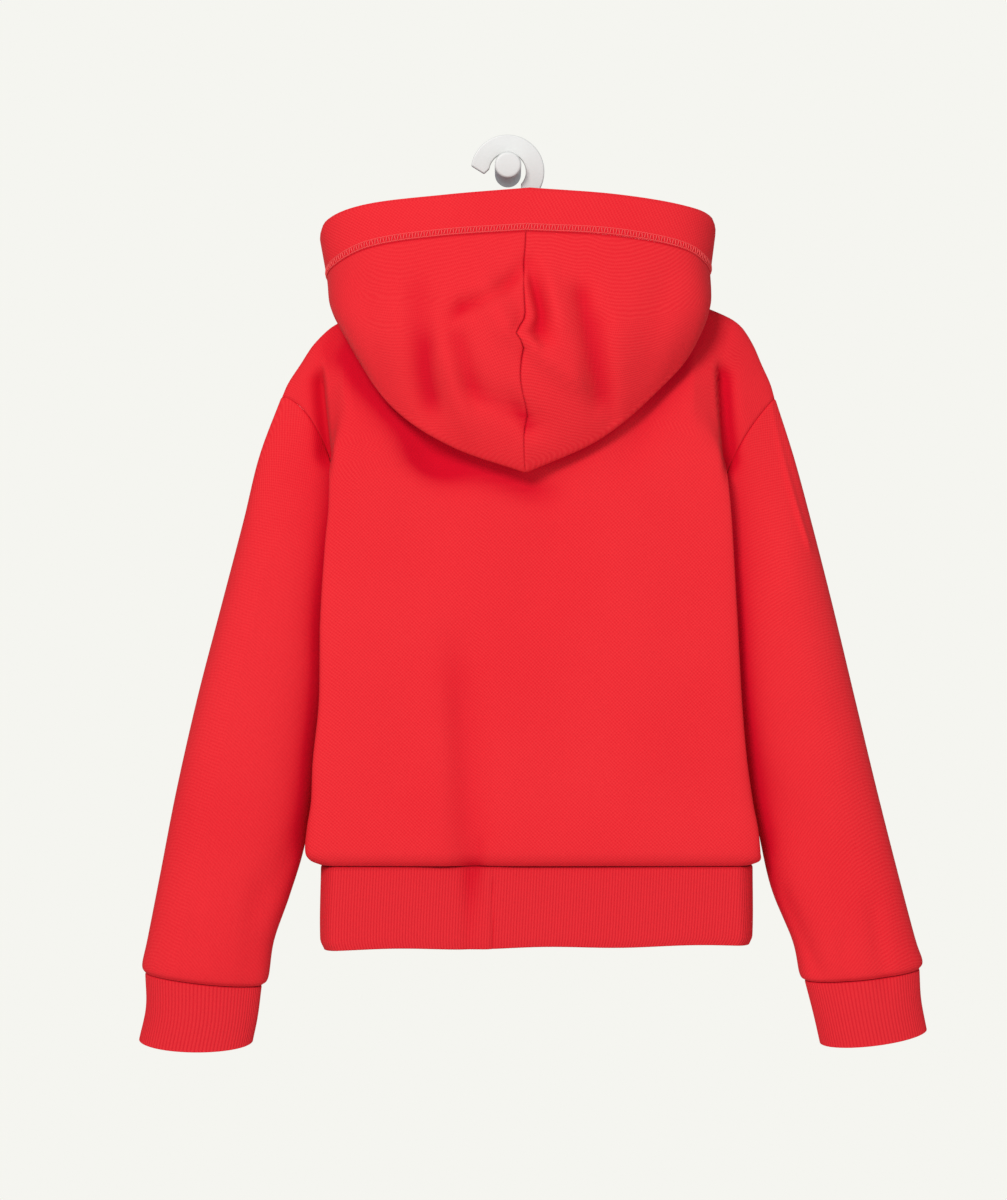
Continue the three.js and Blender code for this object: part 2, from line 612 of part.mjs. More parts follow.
// Plan of the hem rib: straight front and back with rounded ends, points at even distances
function hemRing(ring) {
  const plan = new THREE.Path();
  plan.moveTo(ring.left + ring.end, MID_Y - ring.half);
  plan.lineTo(ring.right - ring.end, MID_Y - ring.half);
  plan.absellipse(ring.right - ring.end, MID_Y, ring.end, ring.half, -Math.PI / 2, Math.PI / 2, false, 0);
  plan.lineTo(ring.left + ring.end, MID_Y + ring.half);
  plan.absellipse(ring.left + ring.end, MID_Y, ring.end, ring.half, Math.PI / 2, 1.5 * Math.PI, false, 0);
  return plan.getSpacedPoints(2 * HEM_RIBS).slice(0, 2 * HEM_RIBS).map((p) => {
    const f = (p.x - ring.left) / (ring.right - ring.left);
    return v3(p.x, p.y, lerp(ring.leftZ, ring.rightZ, f));
  });
}

// Hanger cut in one flat piece: hook with its slanting tip, stem and two sloping arms, edges chamfered
function hangerGeometry() {
  const outline = new THREE.Shape();
  const topOf = (x) => {
    if (Math.abs(x - CROTCH.x) < CROTCH.half) return CROTCH.z;
    return ridgeZ(x) - HANGER.under;
  };
  const armXs = (from, to, count) => Array.from({ length: count + 1 }, (_, i) => lerp(from, to, i / count));
  const joinRight = Math.acos((STEM.right - HOOK.x) / HOOK.outer);
  const joinLeft = Math.acos((STEM.left - HOOK.x) / HOOK.inner);
  outline.moveTo(STEM.right, HOOK.z - HOOK.outer * Math.sin(joinRight));
  outline.absarc(HOOK.x, HOOK.z, HOOK.outer, -joinRight, degToRad(HOOK.outerEnd), false);
  outline.lineTo(HOOK.tipX, HOOK.tipZ);
  outline.absarc(HOOK.x, HOOK.z, HOOK.inner, degToRad(HOOK.innerEnd), -joinLeft, true);
  outline.lineTo(STEM.left, CROTCH.z + 6);
  for (const x of armXs(-67, HANGER.leftX, 7)) outline.lineTo(x, topOf(x));
  for (const x of armXs(HANGER.leftX + 3, -67, 7)) outline.lineTo(x, topOf(x) - HANGER.arm);
  outline.lineTo(CROTCH.x, CROTCH.z - HANGER.arm - 8);
  for (const x of armXs(103, HANGER.rightX - 3, 7)) outline.lineTo(x, topOf(x) - HANGER.arm);
  for (const x of armXs(HANGER.rightX, 103, 7)) outline.lineTo(x, topOf(x));
  outline.lineTo(STEM.right, CROTCH.z + 6);
  const geometry = new THREE.ExtrudeGeometry(outline, {
    depth: HANGER.thick - 2 * HANGER.chamfer,
    bevelEnabled: true,
    bevelThickness: HANGER.chamfer,
    bevelSize: HANGER.chamfer,
    bevelOffset: -HANGER.chamfer,
    bevelSegments: 1,
    curveSegments: 10,
  });
  geometry.translate(0, 0, -(HANGER.thick / 2 - HANGER.chamfer));
  geometry.rotateX(Math.PI / 2);
  geometry.translate(0, MID_Y, 0);
  return geometry;
}

function pegGeometry() {
  const profile = [
    new THREE.Vector2(0, 0),
    new THREE.Vector2(PEG.radius, 0),
    new THREE.Vector2(PEG.radius, PEG.length - PEG.round),
    new THREE.Vector2(PEG.radius - PEG.round, PEG.length),
    new THREE.Vector2(0, PEG.length),
  ];
  const geometry = new THREE.LatheGeometry(profile, 24);
  geometry.rotateX(Math.PI);
  return geometry;
}

// Cloth pieces cut as panels or tubes
const hoodLeft = hoodGrid(LEFT);
const hoodRight = hoodGrid(RIGHT);
const panel = { closed: false, thick: CLOTH, startPull: PULL };
const sleeve = { closed: true, thick: CLOTH, startPull: TURNED_PULL };
const band = { closed: true, thick: BAND_CLOTH, startPull: TURNED_PULL };
const clothPieces = [
  { ...panel, name: 'back_panel', grid: panelGrid(BACK), flip: false },
  { ...panel, name: 'front_panel', grid: panelGrid(FRONT), flip: true },
  { ...sleeve, name: 'sleeve_left', grid: sleeveGrid(LEFT), flip: true },
  { ...sleeve, name: 'sleeve_right', grid: sleeveGrid(RIGHT), flip: false },
  { ...panel, name: 'hood_left', grid: hoodLeft, flip: true },
  { ...panel, name: 'hood_right', grid: hoodRight, flip: false },
  { ...band, name: 'hood_band', grid: bandGrid(hoodLeft, hoodRight), flip: true },
];

// Panels meet in pairs at the shoulder, underarm and neck sides, so the third piece counts twice there
const seamNormals = new SeamNormals();
for (const piece of clothPieces) {
  const normals = gridNormals(piece.grid, piece.closed, piece.flip);
  const isSleeve = piece.name.startsWith('sleeve');
  const isHood = piece.name.startsWith('hood_l') || piece.name.startsWith('hood_r');
  piece.grid.forEach((line, r) => line.forEach((point, c) => {
    const pairMeets = (isSleeve && r === 0 && c % ARMHOLE.segments === 0)
      || (isHood && r === 0 && c === HOOD_COLUMNS / 2);
    seamNormals.add(point, normals[r][c], pairMeets ? 2 : 1);
  }));
}

// At the underarm the outer faces look at each other, so the walls turn upwards there
for (const half of [LEFT, RIGHT]) {
  const ring = clothPieces.find((piece) => piece.name === `sleeve_${half.name}`).grid[0];
  for (let step = -2; step <= 2; step += 1) {
    seamNormals.add(ring[ARMHOLE.segments + step], v3(0, 0, -1), 4 / (1 + step * step));
  }
}

const hoodie = new THREE.Group();

function addMesh(name, geometry, finish) {
  const mesh = new THREE.Mesh(geometry, new THREE.MeshStandardMaterial(finish));
  mesh.name = name;
  hoodie.add(mesh);
  return mesh;
}

for (const piece of clothPieces) addMesh(piece.name, wall(piece, seamNormals), RED);
for (const { name } of [LEFT, RIGHT]) {
  addMesh(`cuff_${name}`, ribbedTube(cuffRings(name), CUFF_RIBS, RIB_RISE, RIB_CLOTH), RIB_RED);
}
addMesh('hem_rib', ribbedTube(HEM_RINGS.map(hemRing), HEM_RIBS, RIB_RISE, RIB_CLOTH), RIB_RED);
addMesh('hanger', hangerGeometry(), WHITE);
addMesh('wall_peg', pegGeometry(), WHITE);

export default hoodie;
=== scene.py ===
"""A child's plain hooded sweatshirt, seen from its back, on a flat hanger that hangs from a wall peg.

Sizes are in millimetres and become metres where a mesh is made. X runs to the viewer's right, Y towards
the wall and Z up. The origin is on the peg's axis, at the face of the wall.
"""

import logging
import math
from dataclasses import dataclass
from enum import Enum
from typing import Any, Iterable, Optional, Union

import bpy
import numpy as np
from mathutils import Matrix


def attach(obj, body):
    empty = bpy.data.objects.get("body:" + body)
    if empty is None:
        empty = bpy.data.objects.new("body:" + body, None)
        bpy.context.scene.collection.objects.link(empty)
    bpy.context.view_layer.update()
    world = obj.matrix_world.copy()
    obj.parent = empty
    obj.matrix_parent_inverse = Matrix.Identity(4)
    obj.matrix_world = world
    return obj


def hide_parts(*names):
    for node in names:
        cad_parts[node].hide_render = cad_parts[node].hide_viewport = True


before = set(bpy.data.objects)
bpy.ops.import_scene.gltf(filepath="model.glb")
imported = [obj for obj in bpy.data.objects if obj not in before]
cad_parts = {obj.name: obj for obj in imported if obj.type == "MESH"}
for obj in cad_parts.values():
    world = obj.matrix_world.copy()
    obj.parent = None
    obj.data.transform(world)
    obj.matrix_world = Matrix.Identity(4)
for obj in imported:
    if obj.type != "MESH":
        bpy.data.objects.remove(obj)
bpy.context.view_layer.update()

Array = np.ndarray
Number = Union[float, Array]

MM = 0.001
FOLD_FADE = 16.0
ALLOWANCE = 3.0
HOLLOW_SCALE = 0.1

log = logging.getLogger("hoodie")


class Face(Enum):
    """Which way a layer of the garment looks: the viewer sees its back."""

    BACK = -1
    FRONT = 1


def mix(start: Number, end: Number, share: Number) -> Number:
    """Straight line from start to end, by share of the way."""
    return start + (end - start) * share


def smooth(q: Number) -> Number:
    """Soft step: three q squared less two q cubed, between 0 and 1."""
    q = np.clip(q, 0.0, 1.0)
    return q * q * (3 - 2 * q)


def quarter(q: Number) -> Number:
    """Quarter of a round: the root of one less (one less q) squared, and 1 from q = 1 on."""
    return np.sqrt(1 - (1 - np.clip(q, 0.0, 1.0)) ** 2)


def hermite(start: Number, slope_start: Number, end: Number, slope_end: Number, q: Number) -> Number:
    """Cubic between two values with a given slope at each.

    Args:
        start: value at q = 0.
        slope_start: slope there, for each unit of q.
        end: value at q = 1.
        slope_end: slope there.
        q: share of the way, from 0 to 1.

    Returns:
        The value at q.
    """
    q2, q3 = q * q, q * q * q
    rising = start * (2 * q3 - 3 * q2 + 1) + end * (3 * q2 - 2 * q3)
    return rising + slope_start * (q3 - 2 * q2 + q) + slope_end * (q3 - q2)


def place(x: Number, y: Number, z: Number) -> Array:
    """Points from their three coordinates, spread to one common shape."""
    return np.stack(np.broadcast_arrays(x, y, z), axis=-1)


def unit(vectors: Array) -> Array:
    """The same directions with length 1."""
    return vectors / np.maximum(np.linalg.norm(vectors, axis=-1, keepdims=True), 1e-9)


@dataclass(frozen=True)
class Table:
    """Short table of sizes, read as smooth curves over its first column.

    Between two rows a value follows a cubic. Its slope at a row is that of the line through the rows on
    either side of it.
    """

    columns: tuple[str, ...]
    rows: tuple[tuple[float, ...], ...]

    def at(self, column: str, key: Number) -> Array:
        """Smooth value of a column.

        Args:
            column: the column's name.
            key: where to read it, in the units of the first column.

        Returns:
            The values, in the shape of key.
        """
        table = np.array(self.rows, float)
        keys, values = table[:, 0], table[:, self.columns.index(column)]
        steps = np.arange(len(keys))
        before, after = np.maximum(steps - 1, 0), np.minimum(steps + 1, len(keys) - 1)
        slopes = (values[after] - values[before]) / (keys[after] - keys[before])
        way = np.sign(keys[-1] - keys[0])
        key = np.asarray(key, float)
        i = np.clip(np.searchsorted(way * keys, way * key, side="right") - 1, 0, len(keys) - 2)
        span = keys[i + 1] - keys[i]
        q = np.clip((key - keys[i]) / span, 0.0, 1.0)
        return hermite(values[i], slopes[i] * span, values[i + 1], slopes[i + 1] * span, q)

    def cut(self, column: str, row: int) -> float:
        """One number of the table as it is written."""
        return self.rows[row][self.columns.index(column)]


@dataclass(frozen=True)
class Fold:
    """One soft trough of the cloth, or a ridge where its depth is negative.

    It runs from (x0, z0) to (x1, z1) and may bow sideways between them. Where it leans, the side on its
    left as the viewer looks down along it is steeper, or the other side if the lean is negative.
    """

    x0: float
    z0: float
    x1: float
    z1: float
    width: float
    depth: float
    bow: float = 0.0
    lean: float = 0.0

    def at(self, x: Array, z: Array) -> Array:
        """How far the fold presses the cloth in at each place.

        The depth fades as a bell across the fold, exp(-(distance / width) squared), and beyond its ends
        as a bell of twice that width. The line itself bows by a parabola that is 0 at both ends.
        """
        along_x, along_z = self.x1 - self.x0, self.z1 - self.z0
        length = math.hypot(along_x, along_z)
        along = ((x - self.x0) * along_x + (z - self.z0) * along_z) / length
        across = ((x - self.x0) * along_z - (z - self.z0) * along_x) / length
        share = np.clip(along / length, 0.0, 1.0)
        across = across - 4 * self.bow * share * (1 - share)
        beyond = np.maximum(0.0, np.maximum(-along, along - length))
        width = self.width * (1 - self.lean * np.sign(across))
        return self.depth * np.exp(-((across / width) ** 2) - (beyond / (2 * self.width)) ** 2)


def pressed(folds: Iterable[Fold], x: Array, z: Array) -> Array:
    """Sum of what a list of folds presses in at each place."""
    total = np.zeros(np.broadcast(x, z).shape)
    for fold in folds:
        total = total + fold.at(x, z)
    return total


def hollows(points: Array, middle_y: float, near: Iterable[Fold], far: Iterable[Fold]) -> Array:
    """How far folds press a hollow piece in at each of its points.

    It fades by a soft step near the middle plane, where the two sides of the piece meet.

    Args:
        points: the piece's outer points.
        middle_y: its middle plane.
        near: folds of the side towards the viewer.
        far: folds of the hidden side.

    Returns:
        The depth, below nothing on a ridge.
    """
    depth = points[..., 1] - middle_y
    x, z = points[..., 0], points[..., 2]
    folds = np.where(depth < 0, pressed(near, x, z), pressed(far, x, z))
    return folds * smooth(np.abs(depth) / FOLD_FADE)


def eased(count: int, ease: float = 0.85) -> Array:
    """Steps from 0 to 1 that are closer together at both ends: s less a sine wave of one turn."""
    s = np.linspace(0.0, 1.0, count + 1)
    return s - ease * np.sin(2 * np.pi * s) / (2 * np.pi)


def eased_start(count: int, power: float = 1.9) -> Array:
    """Steps from 0 to 1 that are closer together at the start: s to a power."""
    return np.linspace(0.0, 1.0, count + 1) ** power


@dataclass(frozen=True)
class Turn:
    """How a sewn edge turns in: how far it goes, and over what distance the cloth rounds down to it."""

    depth: float
    reach: float


SEAM = Turn(0.7, 1.1)
BAND_SEAM = Turn(0.45, 0.8)
OVER_RIB = Turn(0.25, 0.7)
UNDER_CLOTH = Turn(0.5, 0.7)
FOLDED_EDGE = Turn(1.6, 1.8)


@dataclass
class Cloth:
    """Outer surface of one piece of cloth: a grid of points, rows by columns.

    Its grain says which way the columns and rows run as the viewer sees them: 1 to the right or up, -1 to
    the left or down.
    """

    points: Array
    closed: bool
    flip: bool
    grain: tuple[int, int] = (1, 1)

    def normals(self) -> Array:
        """Directions away from the cloth: the cross product of the steps along rows and columns."""
        if self.closed:
            across = np.roll(self.points, -1, axis=1) - np.roll(self.points, 1, axis=1)
        else:
            across = np.gradient(self.points, axis=1)
        along = np.gradient(self.points, axis=0)
        way = unit(np.cross(across, along))
        return -way if self.flip else way

    def lengths(self) -> tuple[Array, Array]:
        """Distances over the cloth.

        Returns:
            The distance along each row from its first column, and along each column from its first row.
            A closed grid gets one more column, where the row comes back to its start.
        """
        points = np.concatenate([self.points, self.points[:, :1]], axis=1) if self.closed else self.points
        across = np.linalg.norm(np.diff(points, axis=1), axis=-1)
        along = np.linalg.norm(np.diff(points, axis=0), axis=-1)
        u = np.concatenate([np.zeros((len(points), 1)), np.cumsum(across, axis=1)], axis=1)
        v = np.concatenate([np.zeros((1, points.shape[1])), np.cumsum(along, axis=0)], axis=0)
        return u, v

    def turn_in(
        self,
        first: Optional[Turn] = None,
        last: Optional[Turn] = None,
        left: Optional[Turn] = None,
        right: Optional[Turn] = None,
    ) -> None:
        """Turns the cloth in along its sewn edges, as a bell of the distance from the edge.

        Args:
            first: how the first row turns in, if it is sewn.
            last: the same for the last row.
            left: the same for the first column.
            right: the same for the last column.
        """
        u, v = self.lengths()
        width = self.points.shape[1]
        total = np.zeros(self.points.shape[:2])
        for turn, distance in (
            (first, v[:, :width]),
            (last, v[-1:, :width] - v[:, :width]),
            (left, u[:, :width]),
            (right, u[:, width - 1 : width] - u[:, :width]),
        ):
            if turn:
                total = np.maximum(total, turn.depth * np.exp(-((distance / turn.reach) ** 2)))
        self.points = self.points - self.normals() * total[..., None]

    def add_allowance(self, last: bool = False, pointed: bool = False) -> None:
        """Adds seam allowances: narrow strips that go straight in from the first or the last row.

        Args:
            last: whether the last row gets one too.
            pointed: whether the first row comes to a point, where its two sides meet. Its strip then fades
                to nothing by a soft step, so that it sticks out nowhere.
        """
        way = np.linspace(0.0, ALLOWANCE, 4)[1:, None, None]
        normals = self.normals()
        edge = self.points[:1]
        share = smooth(np.abs(edge[..., 1:2] - edge[..., 1].mean()) / ALLOWANCE) if pointed else 1.0
        parts = [(edge - normals[:1] * way * share)[::-1], self.points]
        if last:
            parts.append(self.points[-1:] - normals[-1:] * way)
        self.points = np.concatenate(parts)

    def quads(self) -> Array:
        """Corner numbers of the grid's faces, turned so that they look outwards."""
        rows, columns = self.points.shape[:2]
        numbers = np.arange(rows * columns).reshape(rows, columns)
        if self.closed:
            numbers = np.concatenate([numbers, numbers[:, :1]], axis=1)
        corners = [numbers[:-1, :-1], numbers[:-1, 1:], numbers[1:, 1:], numbers[1:, :-1]]
        if self.flip:
            corners.reverse()
        return np.stack(corners, axis=-1).reshape(-1, 4)

    def uvs(self) -> Array:
        """Place of each face corner on the flat cloth, in metres, from the middle of each row."""
        u, v = self.lengths()
        flat = np.stack([u - u[:, -1:] / 2, v], axis=-1) * np.array(self.grain) * MM
        corners = [flat[:-1, :-1], flat[:-1, 1:], flat[1:, 1:], flat[1:, :-1]]
        if self.flip:
            corners.reverse()
        return np.stack(corners, axis=2).reshape(-1, 2)


def mesh_object(
    name: str,
    points: Array,
    faces: Array,
    uvs: Array,
    material: bpy.types.Material,
    marks: Optional[dict[str, Array]] = None,
) -> Any:
    """Makes a piece from arrays.

    Args:
        name: the piece's name.
        points: its corners in millimetres, in one row each.
        faces: corner numbers, one row a face.
        uvs: place on the flat cloth for each face corner, in metres.
        material: its finish.
        marks: numbers that its finish reads, one for each corner: "rise" is 1 on top of a rib and 0 in a
        groove, and "hollow" is how far a fold presses the cloth in, in centimetres. The finish paints
        shade from both, darker in the grooves and in the folds.

    Returns:
        The new object, at the origin, riding on the garment's one body.
    """
    mesh = bpy.data.meshes.new(name)
    sides = faces.shape[1]
    mesh.vertices.add(len(points))
    mesh.vertices.foreach_set("co", (points * MM).astype(np.float32).ravel())
    mesh.loops.add(faces.size)
    mesh.loops.foreach_set("vertex_index", faces.astype(np.int32).ravel())
    mesh.polygons.add(len(faces))
    mesh.polygons.foreach_set("loop_start", np.arange(0, faces.size, sides, dtype=np.int32))
    mesh.polygons.foreach_set("loop_total", np.full(len(faces), sides, np.int32))
    layer = mesh.uv_layers.new(name="cloth")
    layer.data.foreach_set("uv", uvs.astype(np.float32).ravel())
    for mark, values in (marks or {}).items():
        attribute = mesh.attributes.new(mark, "FLOAT", "POINT")
        attribute.data.foreach_set("value", values.astype(np.float32).ravel())
    mesh.update(calc_edges=True)
    mesh.shade_smooth()
    mesh.materials.append(material)
    piece = bpy.data.objects.new(name, mesh)
    bpy.context.scene.collection.objects.link(piece)
    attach(piece, "root")
    log.info("%s: %d points", name, len(points))
    return piece


def sew(
    name: str,
    cloth: Cloth,
    thick: float,
    material: bpy.types.Material,
    node: str,
    marks: Optional[dict[str, Array]] = None,
) -> Any:
    """Makes a piece of cloth with a real wall and puts it in its node's place."""
    points = cloth.points.reshape(-1, 3)
    piece = mesh_object(name, points, cloth.quads(), cloth.uvs(), material, marks)
    wall = piece.modifiers.new("wall", "SOLIDIFY")
    wall.thickness = thick * MM
    wall.offset = -1
    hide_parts(node)
    return piece


def put(mesh: bpy.types.Mesh, node: str) -> Any:
    """Makes a piece of a mesh, on the garment's one body, and puts it in its node's place."""
    piece = bpy.data.objects.new(mesh.name, mesh)
    bpy.context.scene.collection.objects.link(piece)
    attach(piece, "root")
    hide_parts(node)
    log.info("%s: %d points", mesh.name, len(mesh.vertices))
    return piece


class NodeSheet:
    """The node tree of one material, filled through a single method."""

    def __init__(self, name: str) -> None:
        """Starts an empty tree with its output."""
        self.material = bpy.data.materials.new(name)
        self.material.use_nodes = True
        self.tree = self.material.node_tree
        self.tree.nodes.clear()
        self.output = self.tree.nodes.new("ShaderNodeOutputMaterial")

    def node(self, kind: str, settings: dict[str, Any], inputs: dict[Any, Any]) -> bpy.types.Node:
        """Adds a node.

        Args:
            kind: its type.
            settings: its own settings, set before its sockets.
            inputs: the value or link of each socket, by name or number.

        Returns:
            The node.
        """
        node = self.tree.nodes.new(kind)
        for key, value in settings.items():
            setattr(node, key, value)
        for key, value in inputs.items():
            if isinstance(value, Signal):
                value = value.socket
            if isinstance(value, bpy.types.NodeSocket):
                self.tree.links.new(value, node.inputs[key])
            else:
                node.inputs[key].default_value = value
        return node

    def signal(self, kind: str, settings: dict[str, Any], inputs: dict[Any, Any], out: Any = 0) -> "Signal":
        """Adds a node and wraps one of its outputs."""
        return Signal(self, self.node(kind, settings, inputs).outputs[out])

    def noise(self, where: Any, scale: float, detail: float = 2.0) -> "Signal":
        """Cloudy noise from 0 to 1."""
        return self.signal("ShaderNodeTexNoise", {}, {"Vector": where, "Scale": scale, "Detail": detail})

    def blend(self, share: "Signal", low: tuple[float, ...], high: Any) -> bpy.types.NodeSocket:
        """Colour between two others."""
        settings = {"data_type": "RGBA", "clamp_factor": True}
        return self.node("ShaderNodeMix", settings, {0: share, 6: low, 7: high}).outputs[2]

    def finish(self, values: dict[str, Any]) -> bpy.types.Material:
        """Adds the surface shader and closes the tree."""
        shader = self.node("ShaderNodeBsdfPrincipled", {}, values)
        self.tree.links.new(shader.outputs[0], self.output.inputs["Surface"])
        return self.material


class Signal:
    """A number that changes over a surface. Expressions on it add Math nodes."""

    def __init__(self, sheet: NodeSheet, socket: bpy.types.NodeSocket) -> None:
        """Wraps a socket of a sheet."""
        self.sheet = sheet
        self.socket = socket

    def math(self, operation: str, *values: Any) -> "Signal":
        """A Math node over the given values."""
        return self.sheet.signal("ShaderNodeMath", {"operation": operation}, dict(enumerate(values)))

    def __add__(self, other: Any) -> "Signal":
        """This plus another."""
        return self.math("ADD", self, other)

    def __radd__(self, other: Any) -> "Signal":
        """Another plus this."""
        return self.math("ADD", other, self)

    def __sub__(self, other: Any) -> "Signal":
        """This less another."""
        return self.math("SUBTRACT", self, other)

    def __rsub__(self, other: Any) -> "Signal":
        """Another less this."""
        return self.math("SUBTRACT", other, self)

    def __mul__(self, other: Any) -> "Signal":
        """This times another."""
        return self.math("MULTIPLY", self, other)

    def __rmul__(self, other: Any) -> "Signal":
        """Another times this."""
        return self.math("MULTIPLY", other, self)

    def __truediv__(self, other: Any) -> "Signal":
        """This over another."""
        return self.math("DIVIDE", self, other)

    def sine(self) -> "Signal":
        """Its sine."""
        return self.math("SINE", self)

    def size(self) -> "Signal":
        """Itself without its sign."""
        return self.math("ABSOLUTE", self)

    def part(self) -> "Signal":
        """What it has after the point."""
        return self.math("FRACT", self)


Colour = tuple[float, float, float, float]


@dataclass(frozen=True)
class Knit:
    """Cotton knit: columns of small slanted stitches under a fine diagonal grain, with a short nap."""

    name: str
    light: Colour
    deep: Colour
    # Colour of painted shade, for crevices, valleys, folds and rib grooves.
    painted_shade: Colour
    wale: float = 1.5
    course: float = 1.2
    diagonal: float = 2.1
    relief: float = 0.45
    roughness: float = 0.9
    sheen: float = 0.12
    shade_reach: float = 70.0
    shade_from: float = 0.5
    shade_to: float = 0.97
    fold_shade: float = 1.4
    ribbed: bool = False

    def build(self) -> bpy.types.Material:
        """Makes the finish.

        A stitch is half of a V: across each column of stitches the height is a sine of the distance along
        the cloth, moved on by how far the place is from the column's middle. The grain is the sum of two
        sines, of the distances along the two diagonals. Shade is painted into the colour: it goes towards
        the painted shade colour where cloth faces cloth (ambient occlusion), and with the square of how far
        a fold presses in. On rib knit the grooves between the ribs are painted darker as shade.
        """
        sheet = NodeSheet(self.name)
        turn = 2 * math.pi
        flat = sheet.node("ShaderNodeUVMap", {"uv_map": "cloth"}, {}).outputs["UV"]
        axes = sheet.node("ShaderNodeSeparateXYZ", {}, {0: flat})
        u, v = Signal(sheet, axes.outputs[0]), Signal(sheet, axes.outputs[1])
        across = u / (self.wale * MM)
        middle = (across.part() - 0.5).size() * 2
        stitch = ((v / (self.course * MM) + middle) * turn).sine() * 0.5 + 0.5
        body = sheet.node("ShaderNodeTexCoord", {}, {}).outputs["Object"]
        clouds = sheet.noise(body, 9.0, 3.0)
        specks = sheet.noise(body, 700.0, 2.0)
        patches = sheet.noise(body, 160.0, 2.0)
        per_metre = turn * math.sqrt(0.5) / (self.diagonal * MM)
        lines = ((u + v) * per_metre + patches * 4.0).sine()
        gaps = ((u - v) * per_metre + patches * 5.0).sine()
        grain = lines * 0.3 + gaps * 0.2 + 0.5
        hollow = sheet.signal("ShaderNodeAttribute", {"attribute_name": "hollow"}, {}, "Fac")
        tone = clouds * 0.45 + specks * 0.35 + grain * 0.7 - 0.25
        height = grain * 0.7 + stitch * 0.1 + specks * 0.4
        if self.ribbed:
            rise = sheet.signal("ShaderNodeAttribute", {"attribute_name": "rise"}, {}, "Fac")
            # Painted shade: the grooves between the ribs take the deep colour, the rib tops the light one.
            tone = rise * 0.8 + specks * 0.2 + clouds * 0.2 - 0.1
            height = stitch * 0.4 + specks * 0.5
        surface = {"Strength": 0.6, "Distance": self.relief * MM, "Height": height}
        bump = sheet.node("ShaderNodeBump", {}, surface)
        # Painted shade: where ambient occlusion finds cloth near, and where folds press in, the colour goes
        # to the painted shade colour.
        reach = {"Distance": self.shade_reach * MM}
        closeness = sheet.signal("ShaderNodeAmbientOcclusion", {"samples": 8}, reach, "AO")
        open_share = (closeness - self.shade_from) / (self.shade_to - self.shade_from)
        open_share = open_share - hollow * hollow.size() * self.fold_shade
        colour = sheet.blend(tone, self.deep, self.light)
        return sheet.finish({
            "Base Color": sheet.blend(open_share, self.painted_shade, colour),
            "Roughness": self.roughness,
            "Specular IOR Level": 0.06,
            "Sheen Weight": self.sheen,
            "Sheen Roughness": 0.4,
            "Sheen Tint": (1.0, 0.4, 0.36, 1.0),
            "Normal": bump.outputs[0],
        })


@dataclass(frozen=True)
class SatinPlastic:
    """White moulded plastic with a faint uneven gloss."""

    name: str
    colour: Colour
    roughness: float

    def build(self) -> bpy.types.Material:
        """Makes the finish: cloudy noise moves the colour and the gloss a little."""
        sheet = NodeSheet(self.name)
        body = sheet.node("ShaderNodeTexCoord", {}, {}).outputs["Object"]
        clouds = sheet.noise(body, 60.0, 3.0)
        grain = sheet.noise(body, 1400.0, 1.0)
        dull = tuple(channel * 0.94 for channel in self.colour[:3]) + (1.0,)
        bump = sheet.node("ShaderNodeBump", {}, {"Strength": 0.15, "Distance": 0.1 * MM, "Height": grain})
        return sheet.finish({
            "Base Color": sheet.blend(clouds, dull, self.colour),
            "Roughness": clouds * 0.12 + self.roughness,
            "Normal": bump.outputs[0],
        })


@dataclass(frozen=True)
class Finishes:
    """All finishes of the part."""

    sweatshirt: bpy.types.Material
    rib: bpy.types.Material
    thread: bpy.types.Material
    plastic: bpy.types.Material


@dataclass(frozen=True)
class Half:
    """One side of the garment: -1 is the viewer's left and +1 the right."""

    name: str
    side: int
    shoulder_x: float
    shoulder_z: float
    under_x: float
    bow: float
    skew: float


LEFT = Half("left", -1, -181.6, -184.0, -133.4, 25.0, 0.64)
RIGHT = Half("right", 1, 214.4, -185.6, 167.0, 24.0, 0.85)


